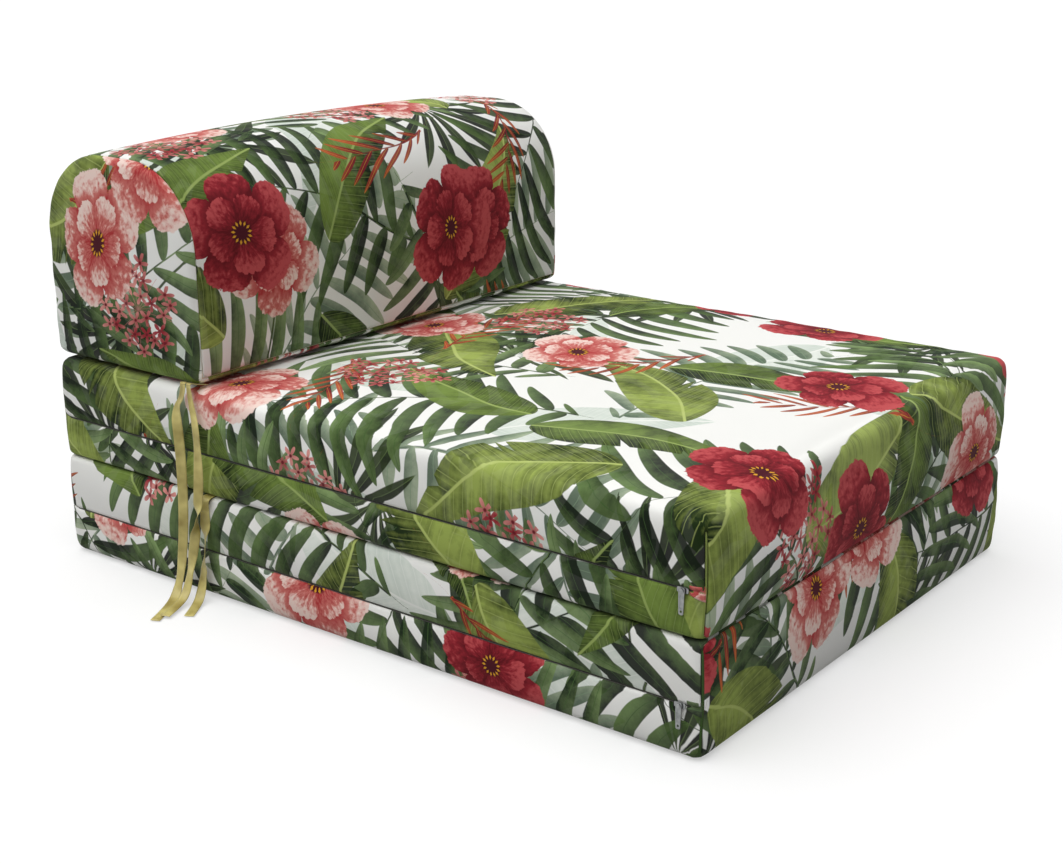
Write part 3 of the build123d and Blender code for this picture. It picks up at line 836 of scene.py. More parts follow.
# %% Star cluster
def cluster_group():
    add, given, end = new_group(
        "star_cluster",
        {"Local": "Vector", "Reach": "Float", "Spacing": "Float"},
        {"Mask": "Float", "Tone": "Float", "Line": "Float"},
    )
    flat = add(VECTOR, given["Local"], (1.0, 1.0, 0.0), operation="MULTIPLY")
    scale = add(MATH, 1.0, given["Spacing"], operation="DIVIDE")
    florets = add("ShaderNodeTexVoronoi", flat, sockets={"Scale": scale, "Randomness": 0.8},
                  voronoi_dimensions="2D").node
    middle = florets.outputs["Position"]
    own = add("ShaderNodeSeparateXYZ", florets.outputs["Color"]).node
    from_middle = add(VECTOR, flat, middle, operation="SUBTRACT")
    split = add("ShaderNodeSeparateXYZ", from_middle).node
    out = add(VECTOR, from_middle, operation="LENGTH", output="Value")
    angle = add(MATH, split.outputs["Y"], split.outputs["X"], operation="ARCTAN2")
    turn = add(MATH, own.outputs["X"], 6.0, operation="MULTIPLY")
    wave = add(MATH, add(MATH, angle, 5.0, turn, operation="MULTIPLY_ADD"), operation="COSINE")
    edge = add(MATH, add(MATH, wave, 0.24, 0.4, operation="MULTIPLY_ADD"), given["Spacing"], operation="MULTIPLY")
    petals = add(MATH, add(MATH, edge, out, operation="SUBTRACT"), 1.1, operation="MULTIPLY", use_clamp=True)
    head = add(VECTOR, middle, (1.0, 1.35, 0.0), operation="MULTIPLY")
    away = add(VECTOR, head, operation="LENGTH", output="Value")
    mask = add(MATH, petals, add(MATH, away, given["Reach"], operation="LESS_THAN"), operation="MULTIPLY")
    # Thin stalks run in from the florets to the foot of the head.
    places = add("ShaderNodeSeparateXYZ", flat).node
    round_angle = add(MATH, places.outputs["Y"], places.outputs["X"], operation="ARCTAN2")
    spokes = add(MATH, add(MATH, round_angle, 2.6, operation="MULTIPLY"), operation="FRACT")
    spokes = add(MATH, add(MATH, spokes, 0.5, operation="SUBTRACT"), operation="ABSOLUTE")
    from_foot = add(VECTOR, flat, operation="LENGTH", output="Value")
    spokes = add(MATH, spokes, add(MATH, from_foot, 0.4, operation="MULTIPLY"), operation="MULTIPLY")
    stalk = add(MATH, 0.6, spokes, operation="SUBTRACT", use_clamp=True)
    short = add(MATH, from_foot, add(MATH, given["Reach"], 0.75, operation="MULTIPLY"), operation="LESS_THAN")
    stalk = add(MATH, stalk, short, operation="MULTIPLY")
    mask = add(MATH, mask, stalk, operation="MAXIMUM")
    tone = add(MATH, own.outputs["Y"], 0.6, add(MATH, out, 0.05, operation="MULTIPLY"), operation="MULTIPLY_ADD")
    eye = add(MATH, add(MATH, 2.4, out, operation="SUBTRACT"), 0.8, operation="MULTIPLY", use_clamp=True)
    add(end, mask, tone, eye)


# %% [markdown]
# ## Laying paint
# Watercolour pools: it is darker in places, and lighter in others. Each motif is painted between a
# dark and a light pigment by its own shading and by one slow noise that all motifs share, and its
# lines are drawn in a third colour.

# %% Paint over what is below
def paint_group():
    add, given, end = new_group(
        "watercolour_layer",
        {"Below": "Color", "Mask": "Float", "Tone": "Float", "Line": "Float", "Pool": "Float",
         "Dark": "Color", "Light": "Color", "Line Color": "Color", "Opacity": "Float"},
        {"Color": "Color"},
    )
    tone = add(MATH, given["Pool"], given["Tone"], operation="ADD", use_clamp=True)
    paint = add(MIX, tone, output=2, data_type="RGBA", sockets={6: given["Dark"], 7: given["Light"]})
    paint = add(MIX, given["Line"], output=2, data_type="RGBA", sockets={6: paint, 7: given["Line Color"]})
    cover = add(MATH, given["Mask"], given["Opacity"], operation="MULTIPLY")
    add(end, add(MIX, cover, output=2, data_type="RGBA", sockets={6: given["Below"], 7: paint}))


for make_group in (
    scatter_group, frond_group, leaf_group, fan_group, blossom_group, cluster_group, paint_group
):
    make_group()
print("motifs:", [group.name for group in bpy.data.node_groups])

# %% [markdown]
# ## The whole design
# The design is a list of layers, from the palest wash at the back to the blossoms at the front. A
# layer says which motif it repeats, how large its cells and motifs are in millimetres, how many cells
# are left empty, and its pigments.

# %% The layers, sizes in millimetres
FROND_SHAPE = {"Slant": -0.55, "Curl": 0.0026}
LAYERS = [
    {"motif": "broad_leaf", "cell": 240, "shift": (31, 87, 0), "jitter": 0.1, "empty": 0.3, "opacity": 0.5,
     "shape": {"Length": 210, "Reach": 46, "Vein": 15, "Bend": 0.0012, "Tears": 0.0},
     "dark": "#9fb9a4", "light": "#dfe9dc", "line": "#eef3ea"},
    {"motif": "feather_frond", "cell": 330, "shift": (140, 33, 0), "jitter": 0.05, "empty": 0.1, "opacity": 0.9,
     "shape": {"Length": 320, "Reach": 108, "Pitch": 26, "Width": 0.34, "Bend": 0.0013, **FROND_SHAPE},
     "dark": "#3d5a3c", "light": "#aab998", "line": "#6f8f69"},
    {"motif": "fan_leaf", "cell": 330, "shift": (210, 170, 0), "jitter": 0.08, "empty": 0.15, "opacity": 0.97,
     "shape": {"Reach": 158, "Blades": 19, "Width": 0.4},
     "dark": "#0b1009", "light": "#44552f", "line": "#5c7041"},
    {"motif": "feather_frond", "cell": 410, "shift": (20, 190, 0), "jitter": 0.03, "empty": 0.05, "opacity": 0.97,
     "shape": {"Length": 395, "Reach": 138, "Pitch": 30, "Width": 0.34, "Bend": -0.0009, **FROND_SHAPE},
     "dark": "#121d0f", "light": "#67814a", "line": "#3d5a2b"},
    {"motif": "feather_frond", "cell": 370, "shift": (260, 95, 0), "jitter": 0.04, "empty": 0.1, "opacity": 0.97,
     "shape": {"Length": 350, "Reach": 125, "Pitch": 28, "Width": 0.33, "Bend": 0.0011, **FROND_SHAPE},
     "dark": "#1a2a16", "light": "#87a068", "line": "#4b6a38"},
    {"motif": "broad_leaf", "cell": 250, "shift": (170, 60, 0), "jitter": 0.08, "empty": 0.25, "opacity": 0.97,
     "shape": {"Length": 230, "Reach": 44, "Vein": 13, "Bend": -0.0012, "Tears": 0.08},
     "dark": "#1c2c0e", "light": "#9fb058", "line": "#b8c672"},
    {"motif": "broad_leaf", "cell": 225, "shift": (60, 140, 0), "jitter": 0.08, "empty": 0.45, "opacity": 0.97,
     "shape": {"Length": 205, "Reach": 36, "Vein": 9, "Bend": 0.0015, "Tears": 0.04},
     "dark": "#15220c", "light": "#768e42", "line": "#9aae62"},
    {"motif": "feather_frond", "cell": 215, "shift": (95, 15, 0), "jitter": 0.1, "empty": 0.6, "opacity": 0.97,
     "shape": {"Length": 150, "Reach": 32, "Pitch": 23, "Width": 0.26, "Bend": 0.002, "Slant": -1.5, "Curl": 0.0},
     "dark": "#7a1f2a", "light": "#c9603a", "line": "#e0a838"},
    {"motif": "star_cluster", "cell": 245, "shift": (15, 60, 0), "jitter": 0.15, "empty": 0.5, "opacity": 0.97,
     "shape": {"Reach": 60, "Spacing": 18},
     "dark": "#a02f38", "light": "#e59a92", "line": "#701a26"},
]
BLOSSOMS = [
    {"cell": 260, "shift": (88, 210, 0), "jitter": 0.35, "empty": 0.4, "reach": 66},
    {"cell": 330, "shift": (250, 20, 0), "jitter": 0.45, "empty": 0.45, "reach": 70},
]
GROUND = "#f4f4f0"
RED_BLOSSOM = ("#62131c", "#b2323d", "#d8706e")
PINK_BLOSSOM = ("#b23a3c", "#e3968a", "#f3d9cf")
PINK_CHANCE = 0.5
WOBBLE = 30.0
MOTIF_CONTRAST = 0.4
DEPTH = 0.1


def scattered(add, place, layer):
    """The node that gives a layer's motifs their places and random numbers."""
    return add(
        "ShaderNodeGroup", node_tree=bpy.data.node_groups["scattered_motif"],
        sockets={"Place": place, "Cell": layer["cell"], "Shift": layer["shift"], "Jitter": layer["jitter"]},
    ).node


def kept_part(add, mask, random, layer):
    """A motif's mask, or nothing in the cells that stay empty."""
    chance = add("ShaderNodeSeparateXYZ", random, output="Z")
    return add(MATH, mask, add(MATH, chance, layer["empty"], operation="GREATER_THAN"), operation="MULTIPLY")


def print_group():
    """The whole design as one group: a place on the cloth in metres in, its colour out."""
    add, given, end = new_group("tropical_print", {"Place": "Vector"}, {"Color": "Color"})
    millimetres = add(VECTOR, given["Place"], sockets={"Scale": 1 / MM}, operation="SCALE")
    # A hand-drawn line strays by some millimetres over a hand's width.
    stray = add("ShaderNodeTexNoise", millimetres, output="Color", sockets={"Scale": 0.009, "Detail": 0.0})
    stray = add(VECTOR, stray, (0.5, 0.5, 0.5), operation="SUBTRACT")
    stray = add(VECTOR, stray, (WOBBLE, WOBBLE, 0.0), operation="MULTIPLY")
    place = add(VECTOR, millimetres, stray, operation="ADD")
    # Pools of paint a few millimetres wide, in washes as wide as a hand.
    pools = add("ShaderNodeTexNoise", millimetres, sockets={"Scale": 0.05, "Detail": 4.0, "Roughness": 0.65})
    washes = add("ShaderNodeTexNoise", millimetres, sockets={"Scale": 0.014, "Detail": 1.0})
    pool = add(MATH, washes, 1.5, add(MATH, pools, 1.3, operation="MULTIPLY"), operation="MULTIPLY_ADD")
    pool = add(MATH, pool, 0.5 * (1.5 + 1.3) + 0.5 * MOTIF_CONTRAST + DEPTH, operation="SUBTRACT")
    colour = linear(GROUND)
    for layer in LAYERS:
        spot = scattered(add, place, layer)
        shape = {"Local": spot.outputs["Local"], **layer["shape"]}
        motif = add("ShaderNodeGroup", node_tree=bpy.data.node_groups[layer["motif"]], sockets=shape).node
        mask = kept_part(add, motif.outputs["Mask"], spot.outputs["Random"], layer)
        tone = add(MATH, spot.outputs["Value"], MOTIF_CONTRAST, motif.outputs["Tone"], operation="MULTIPLY_ADD")
        colour = add("ShaderNodeGroup", node_tree=bpy.data.node_groups["watercolour_layer"], sockets={
            "Below": colour, "Mask": mask, "Tone": tone, "Line": motif.outputs["Line"],
            "Pool": pool, "Dark": linear(layer["dark"]), "Light": linear(layer["light"]),
            "Line Color": linear(layer["line"]), "Opacity": layer["opacity"],
        })
    for layer in BLOSSOMS:
        spot = scattered(add, place, layer)
        pick = add("ShaderNodeSeparateXYZ", spot.outputs["Random"], output="X")
        is_pink = add(MATH, pick, PINK_CHANCE, operation="LESS_THAN")
        pigments = [
            add(MIX, is_pink, output=2, data_type="RGBA", sockets={6: linear(red), 7: linear(pink)})
            for red, pink in zip(RED_BLOSSOM, PINK_BLOSSOM)
        ]
        motif = add("ShaderNodeGroup", node_tree=bpy.data.node_groups["double_blossom"], sockets={
            "Local": spot.outputs["Local"], "Reach": layer["reach"],
            "Hue": add(MATH, is_pink, 0.6, 0.4, operation="MULTIPLY_ADD"),
            "Deep": pigments[0], "Bright": pigments[1], "Pale": pigments[2],
        }).node
        mask = kept_part(add, motif.outputs["Mask"], spot.outputs["Random"], layer)
        colour = add(MIX, mask, output=2, data_type="RGBA", sockets={6: colour, 7: motif.outputs["Color"]})
    add(end, colour)


print_group()

# %% [markdown]
# ## Printed cotton
# The covers are a cotton twill, woven white and printed. Cotton is matt, with a little fuzz that
# catches the light at a glancing angle. Its threads lie about half a millimetre apart, which is too
# fine to show from here, so the weave is drawn at twice that.

# %% Printed cotton
WEAVE_PITCH = 1.0 * MM


def printed_cotton_material():
    """Printed cotton twill: matt, with a fine diagonal weave and a faint fuzz."""
    material = new_material("printed_cotton_twill")
    add = partial(add_node, material.node_tree)
    place = add("ShaderNodeUVMap", uv_map="cloth")
    design = add("ShaderNodeGroup", node_tree=bpy.data.node_groups["tropical_print"], sockets={"Place": place})
    turned = add("ShaderNodeMapping", place, sockets={"Rotation": (0, 0, math.radians(38))})
    # A wave texture of scale 1 repeats every 2 pi / 20 metres.
    weave = add("ShaderNodeTexWave", turned, sockets={"Scale": 2 * math.pi / 20 / WEAVE_PITCH})
    bump = add("ShaderNodeBump", sockets={"Height": weave, "Distance": 0.15 * MM, "Strength": 0.35})
    shader = add("ShaderNodeBsdfPrincipled", design, sockets={
        "Roughness": 0.85, "Specular IOR Level": 0.1, "Sheen Weight": 0.04, "Sheen Roughness": 0.5,
        "Normal": bump,
    })
    add("ShaderNodeOutputMaterial", shader)
    return material


printed_cotton = printed_cotton_material()
print("finish:", printed_cotton.name)

# %% [markdown]
# ## The two slabs
# The cover of each slab is puffed as one closed bag, so its panels pull on each other as sewn cloth
# does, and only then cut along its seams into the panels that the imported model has.

# %% Slab covers, puffed and cut along their seams
for name, slab in SLABS.items():
    cover = slab_cover(name, slab, printed_cotton)
    held = seam_points(cover)
    for vertex in cover.data.vertices:
        pressed_on_top = vertex.normal.z > 0.9 and (name == "base" or vertex.co.y > backrest_front)
        if vertex.normal.z < -0.9 or pressed_on_top:
            held.add(vertex.index)
    puff(cover, sorted(held), 1.5)
    bm = subdivided(cover)
    pucker(bm)
    sink_seams(bm)
    slab["surface"] = BVHTree.FromBMesh(bm)
    for panel, (panel_name, cad_name) in enumerate(zip(PANEL_NAMES, CAD_PANELS)):
        piece = cut_out_panel(bm, panel, f"{name}_cover_{panel_name}", printed_cotton)
        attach(piece, name)
        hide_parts(f"{name}_{cad_name}")
        print(piece.name, len(piece.data.polygons), "faces")
    bm.free()

# %% [markdown]
# ## The backrest's cover
# The bolster's section is a D that stands on its flat side. The section is drawn once, its corners are
# rounded, and it is extruded over the width. Its ends are domed: each end face is inset again and
# again towards its middle, and the swelling below pushes the rings outwards. The wrap panel's place on
# the flat cloth is how far round the section it has run, so the print climbs the front, goes over the
# top and comes down at the rear.

# %% The bolster's sizes and panels
SHOULDER_RADIUS = 85 * MM
BOLSTER_CROWN = 9 * MM
END_SWELL = 6 * MM
END_EDGE = 9 * MM
FOOT_EDGE = 10 * MM
END_RING_SHARES = [0.9, 0.8, 0.7, 0.6, 0.5, 0.4, 0.3, 0.2, 0.1]
WRAP, LEFT_END, RIGHT_END, FOOT = range(4)
BOLSTER_PANELS = ["wrap", "left_end", "right_end", "bottom"]
BOLSTER_SHIFTS = [(2.8, 2.97), (2.31, 2.7), (0.6, 3.9), (3.7, 0.4)]
bolster_edge_x = half_width - END_SWELL
bolster_seam_x = bolster_edge_x - 6 * MM
bolster_roof = backrest_high.z - BOLSTER_CROWN
bolster_middle = Vector((0, (backrest_low.y + backrest_high.y) / 2, (backrest_low.z + bolster_roof) / 2))


def bolster_panel(place):
    """The panel that a face of the bolster's cover belongs to."""
    if abs(place.x) > bolster_seam_x:
        return LEFT_END if place.x < 0 else RIGHT_END
    return FOOT if place.z < backrest_low.z + 6 * MM else WRAP


def bolster_cloth_place(place, panel):
    """Where a point of the bolster's cover lies on its panel's flat cloth."""
    if panel == FOOT:
        return place.x, place.y
    if panel == WRAP:
        front_turn = backrest_low.y + SHOULDER_RADIUS
        rear_turn = backrest_high.y - SHOULDER_RADIUS
        down = bolster_roof - SHOULDER_RADIUS - place.z
        if place.y < bolster_middle.y:
            return place.x, -along_rounded_edge(front_turn - place.y, down, SHOULDER_RADIUS)
        run = along_rounded_edge(place.y - rear_turn, down, SHOULDER_RADIUS)
        return place.x, rear_turn - front_turn + run
    outward = Vector((0, place.y, place.z)) - bolster_middle
    depth = max(0.0, min(1.0, (bolster_edge_x - abs(place.x)) / END_EDGE))
    spread = END_EDGE * (math.acos(1 - depth) - math.sin(math.acos(1 - depth)))
    spot = Vector((0, place.y, place.z)) + outward.normalized() * spread
    return spot.y, spot.z


def bolster_cover(material):
    """The bolster's whole cover, laid out as its panels, ready to be puffed."""
    bm = bmesh.new()
    corners = [
        (backrest_low.y, backrest_low.z), (backrest_low.y, bolster_roof),
        (backrest_high.y, bolster_roof), (backrest_high.y, backrest_low.z),
    ]
    bm.faces.new([bm.verts.new((-bolster_edge_x, y, z)) for y, z in corners])
    for is_roof, radius, segments in ((True, SHOULDER_RADIUS, 12), (False, FOOT_EDGE, 3)):
        height = bolster_roof if is_roof else backrest_low.z
        chosen = [vert for vert in bm.verts if abs(vert.co.z - height) < MM]
        bmesh.ops.bevel(
            bm, geom=chosen, offset=radius, offset_type="OFFSET", segments=segments, profile=0.5,
            affect="VERTICES", material=-1,
        )
    for edge in [edge for edge in bm.edges if edge.calc_length() > 2 * GRID_STEP]:
        cuts = round(edge.calc_length() / GRID_STEP) - 1
        bmesh.ops.subdivide_edges(bm, edges=[edge], cuts=cuts)
    extruded = bmesh.ops.extrude_face_region(bm, geom=bm.faces[:])
    moved = [item for item in extruded["geom"] if isinstance(item, bmesh.types.BMVert)]
    bmesh.ops.translate(bm, vec=(2 * bolster_edge_x, 0, 0), verts=moved)
    bmesh.ops.recalc_face_normals(bm, faces=bm.faces)
    near = 0.01 * MM
    for side in (-1, 1):
        end = side * bolster_edge_x
        round_edges(bm, END_EDGE, 4, lambda a, b: abs(a.x - end) < near and abs(b.x - end) < near)
    inner_x = bolster_seam_x - SEAM_ROW
    cut_rows(bm, 0, [-bolster_seam_x, *rows(-inner_x, inner_x), bolster_seam_x])
    cut_rows(bm, 2, [backrest_low.z + 6 * MM])
    bmesh.ops.remove_doubles(bm, verts=bm.verts, dist=0.05 * MM)
    for side in (-1, 1):
        cap = max(bm.faces, key=lambda face: side * face.calc_center_median().x)
        centre = Matrix.Translation(-Vector((0, bolster_middle.y, bolster_middle.z)))
        size = 1.0
        for share in END_RING_SHARES:
            bmesh.ops.inset_region(bm, faces=[cap], thickness=0)
            factor = share / size
            bmesh.ops.scale(bm, vec=(1, factor, factor), space=centre, verts=cap.verts)
            size = share
        bmesh.ops.poke(bm, faces=[cap])
    bmesh.ops.recalc_face_normals(bm, faces=bm.faces)
    bm.normal_update()

    panel_layer = bm.faces.layers.int.new("panel")
    cloth_map = bm.loops.layers.uv.new("cloth")
    for face in bm.faces:
        face[panel_layer] = bolster_panel(face.calc_center_median())
        shift = Vector(BOLSTER_SHIFTS[face[panel_layer]])
        for loop in face.loops:
            loop[cloth_map].uv = Vector(bolster_cloth_place(loop.vert.co, face[panel_layer])) + shift

    for vert in bm.verts:
        x, y, z = vert.co
        normal = vert.normal.copy()
        dome = bump_between(z, backrest_low.z, bolster_roof) * bump_between(y, backrest_low.y, backrest_high.y)
        vert.co.x += normal.x * END_SWELL * dome
        raised = bump_between(x, -bolster_edge_x, bolster_edge_x)
        height = (z - backrest_low.z) / (bolster_roof - backrest_low.z)
        vert.co.z += BOLSTER_CROWN * raised * max(0.0, height) ** 2
    return add_object("backrest_cover", bm, material)


# %% The bolster's cover, puffed and cut along its seams
cover = bolster_cover(printed_cotton)
held = seam_points(cover)
held.update(vertex.index for vertex in cover.data.vertices if vertex.normal.z < -0.9)
puff(cover, sorted(held), 1.5)
bm = subdivided(cover)
pucker(bm)
sink_seams(bm)
for panel, panel_name in enumerate(BOLSTER_PANELS):
    piece = cut_out_panel(bm, panel, f"backrest_cover_{panel_name}", printed_cotton)
    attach(piece, "backrest")
    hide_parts(f"backrest_{panel_name}_panel")
    print(piece.name, len(piece.data.polygons), "faces")
bm.free()

# %% [markdown]
# ## Foam
# Inside each cover is a block of polyurethane foam, cut with a hot wire. It is a little smaller than
# its cover, and a slab's block has a groove on the left that the zip sinks into. It is made in the same
# way as the covers, on a coarser grid.

# %% The foam blocks
FOAM_INSET = 1.6 * MM
FOAM_STEP = 50 * MM
GROOVE_HEIGHT = 32 * MM
GROOVE_DEPTH = 6 * MM


def foam_material():
    """Polyurethane foam, cut from a block: fine open cells, a dull yellowish white."""
    material = new_material("polyurethane_foam")
    add = partial(add_node, material.node_tree)
    place = add("ShaderNodeTexCoord", output=3)
    # Cells of about 1 mm.
    cells = add("ShaderNodeTexVoronoi", place, sockets={"Scale": 1000.0})
    # The colour runs darker towards each cell's middle, where the bump sinks into a pore: painted shade in the pores.
    tone = add("ShaderNodeValToRGB", cells)
    tone.node.color_ramp.elements[0].color = linear("#c9bd92")
    tone.node.color_ramp.elements[1].color = linear("#f0e8cc")
    bump = add("ShaderNodeBump", sockets={"Height": cells, "Distance": 0.4 * MM, "Strength": 0.6})
    shader = add("ShaderNodeBsdfPrincipled", tone, sockets={"Roughness": 0.95, "Normal": bump})
    add("ShaderNodeOutputMaterial", shader)
    return material


def slab_foam(name, slab, material):
    """A slab's foam block with the groove for its zip."""
    inset = SIDE_DRAW + FOAM_INSET
    low = Vector((-half_width + inset, -half_depth + inset, slab["low"] + FOAM_INSET))
    high = Vector((half_width - inset, half_depth - inset, slab["high"] - FOAM_INSET))
    bm = block(low, high)
    near = 0.01 * MM
    round_edges(bm, CORNER_RADIUS - FOAM_INSET, 4, lambda a, b: abs(a.z - b.z) > near)
    round_edges(bm, slab["top"] - FOAM_INSET, 3, lambda a, b: min(a.z, b.z) > high.z - near)
    round_edges(bm, slab["foot"] - FOAM_INSET, 3, lambda a, b: max(a.z, b.z) < low.z + near)
    cut_rows(bm, 0, rows(-seam_x, seam_x, FOAM_STEP))
    cut_rows(bm, 1, rows(-seam_y, seam_y, FOAM_STEP))
    groove_low = slab["zip"] - GROOVE_HEIGHT / 2
    groove_high = slab["zip"] + GROOVE_HEIGHT / 2
    cut_rows(bm, 2, [groove_low, groove_high])
    groove = [
        face for face in bm.faces
        if face.normal.x < -0.9 and groove_low < face.calc_center_median().z < groove_high
    ]
    extruded = bmesh.ops.extrude_face_region(bm, geom=groove)
    sunk = [item for item in extruded["geom"] if isinstance(item, bmesh.types.BMVert)]
    bmesh.ops.translate(bm, vec=(GROOVE_DEPTH, 0, 0), verts=sunk)
    bmesh.ops.delete(bm, geom=groove, context="FACES")
    for vert in bm.verts:
        x, y, z = vert.co
        if z > high.z - near:
            crown = min(bump_between(x, low.x, high.x), bump_between(y, low.y, backrest_front))
            vert.co.z += 0.8 * slab["crown"] * crown
    bmesh.ops.recalc_face_normals(bm, faces=bm.faces)
    return add_object(f"{name}_foam_block", bm, material)


def bolster_foam(material):
    """The bolster's foam: a D section, extruded, with rounded ends."""
    low = backrest_low + Vector((END_SWELL, 0, 0)) + Vector((1, 1, 1)) * FOAM_INSET
    high = Vector((-low.x, backrest_high.y - FOAM_INSET, bolster_roof - FOAM_INSET))
    bm = block(low, high)
    near = 0.01 * MM
    round_edges(
        bm, SHOULDER_RADIUS - FOAM_INSET, 12,
        lambda a, b: min(a.z, b.z) > high.z - near and abs(a.y - b.y) < near,
    )
    round_edges(bm, FOOT_EDGE - FOAM_INSET, 3, lambda a, b: max(a.z, b.z) < low.z + near and abs(a.y - b.y) < near)
    for end in (low.x, high.x):
        round_edges(bm, END_EDGE - 2 * FOAM_INSET, 3, lambda a, b: abs(a.x - end) < near and abs(b.x - end) < near)
    cut_rows(bm, 0, rows(-seam_x, seam_x, FOAM_STEP))
    for vert in bm.verts:
        x, y, z = vert.co
        height = max(0.0, (z - low.z) / (high.z - low.z))
        vert.co.z += 0.9 * BOLSTER_CROWN * bump_between(x, low.x, high.x) * height ** 2
    return add_object("backrest_foam_block", bm, material)


foam = foam_material()
for name in ("base", "seat", "backrest"):
    piece = slab_foam(name, SLABS[name], foam) if name in SLABS else bolster_foam(foam)
    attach(piece, name)
    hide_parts(f"{name}_foam")
    print(piece.name, len(piece.data.polygons), "faces")

# %% [markdown]
# ## The covers' panels
# Each panel is a sheet of cotton that was cut flat before it was sewn. A panel that comes round an edge
# is larger than the face that it covers.

# %% [markdown]
# ## The hinge tapes
# A strip of the covers' own printed cotton is sewn into the crease between two cushions and bridges it
# when the chair unfolds. Folded, it lies turned back deep in the crease. Its two edges are tucked into
# the covers. The map is laid out for the strip drawn flat across the joint, where the print shows.

# %% The two hinge tapes
TAPE_THICKNESS = 0.5 * MM
TAPE_SET_BACK = 13 * MM
TAPE_LEAF = 10 * MM
TAPE_TUCK = 3 * MM
TAPE_TUCK_DEPTH = 1.8 * MM
TAPE_GAP = 0.6 * MM
TAPE_SHIFTS = {"front_hinge": (0.8, 2.9), "rear_hinge": (2.5, 0.6)}


def hinge_tape(name, hinge, material):
    """A strip folded once in a crease, tucked into the lower cover at one edge and the upper at the other."""
    low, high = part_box(f"{hinge}_lower_leaf"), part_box(f"{hinge}_upper_leaf")
    middle = (low[1].z + high[0].z) / 2
    side = 1 if low[0].y > 0 else -1
    fold = max(abs(low[0].y), abs(low[1].y)) - TAPE_SET_BACK
    bm = bmesh.new()
    cloth_map = bm.loops.layers.uv.new("cloth")
    # Each point of the strip's section is its place along y, its height and its run along the cloth.
    section = []
    for half in (-1, 1):
        height = half * TAPE_GAP / 2
        points = [
            (fold - TAPE_LEAF - TAPE_TUCK, height + half * TAPE_TUCK_DEPTH, TAPE_LEAF + TAPE_TUCK),
            (fold - TAPE_LEAF, height, TAPE_LEAF),
            (fold, height, 0),
        ]
        drawn = [(y, middle + z, half * (run + TAPE_SET_BACK)) for y, z, run in points]
        section += drawn if half < 0 else drawn[::-1]
    places = rows(low[0].x, low[1].x, 40 * MM)
    columns = [[(bm.verts.new((x, side * y, z)), (x, run)) for y, z, run in section] for x in places]
    shift = Vector(TAPE_SHIFTS[hinge])
    for left, right in zip(columns, columns[1:]):
        for number in range(len(section) - 1):
            corners = [left[number], right[number], right[number + 1], left[number + 1]]
            face = bm.faces.new([vert for vert, spot in corners])
            for loop, (vert, spot) in zip(face.loops, corners):
                loop[cloth_map].uv = Vector(spot) + shift
    bmesh.ops.recalc_face_normals(bm, faces=bm.faces)
    tape = add_object(name, bm, material)
    wall = tape.modifiers.new("thickness", "SOLIDIFY")
    wall.thickness = TAPE_THICKNESS
    wall.offset = 0
    return tape, middle


for name, lower_body, upper_body in (("front_hinge", "base", "seat"), ("rear_hinge", "seat", "backrest")):
    tape, middle = hinge_tape(f"{name}_tape", name, printed_cotton)
    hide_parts(f"{name}_lower_leaf", f"{name}_upper_leaf")
    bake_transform(tape)

# %% [markdown]
# ## The zips
# A concealed zip closes each left side. Its woven tapes lie behind the lips of the cover, and only the
# slider and its pull are in sight. The slider is two die-cast plates joined by a thin web that runs
# between the coils, and the flat pull turns on a riveted post. A cut-out in a flat shape needs no
# boolean: the outline and the holes are drawn as loops, the area between them is filled, and the fill
# is extruded. At the zip's front end a small folded scrap of the same cotton is sewn over the tapes.

# %% Finishes of the zips
def zip_metal_material():
    """Zinc alloy, die-cast and nickel plated: satin, with fine tumbling marks."""
    material = new_material("nickel_plated_zinc")
    add = partial(add_node, material.node_tree)
    place = add("ShaderNodeTexCoord", output=3)
    # Marks of about 0.5 mm, and clouding of about 3 mm.
    marks = add("ShaderNodeTexNoise", place, sockets={"Scale": 2000.0, "Detail": 3.0})
    clouds = add("ShaderNodeTexNoise", place, sockets={"Scale": 330.0, "Detail": 2.0})
    tone = add(
        MIX, clouds, output=2, data_type="RGBA", sockets={6: linear("#6f7171"), 7: linear("#a3a5a5")}
    )
    roughness = add("ShaderNodeMapRange", marks, sockets={"To Min": 0.22, "To Max": 0.48})
    bump = add("ShaderNodeBump", sockets={"Height": marks, "Distance": 0.03 * MM, "Strength": 0.4})
    shader = add(
        "ShaderNodeBsdfPrincipled", tone,
        sockets={"Metallic": 1.0, "Roughness": roughness, "Normal": bump},
    )
    add("ShaderNodeOutputMaterial", shader)
    return material


def zip_tape_painted_shade_material():
    """Woven polyester zip tape, coloured a darker grey than the real tape as painted shade in the zip's slot: fine
    cross ribs 0.8 mm apart, a dull surface.
    """
    material = new_material("zip_tape_grey_for_painted_shade")
    add = partial(add_node, material.node_tree)
    place = add("ShaderNodeTexCoord", output=3)
    # A wave of scale 1 repeats every 2 pi / 20 m.
    ribs = add("ShaderNodeTexWave", place, bands_direction="Y", sockets={"Scale": 2 * math.pi / 20 / (0.8 * MM)})
    # Both greys are darker than the tape's own pale colour: painted shade for the dark line in the narrow slot.
    tone = add(
        MIX, ribs, output=2, data_type="RGBA", sockets={6: linear("#4f4f4b"), 7: linear("#77766f")}
    )
    bump = add("ShaderNodeBump", sockets={"Height": ribs, "Distance": 0.15 * MM, "Strength": 0.6})
    shader = add("ShaderNodeBsdfPrincipled", tone, sockets={"Roughness": 0.85, "Normal": bump})
    add("ShaderNodeOutputMaterial", shader)
    return material


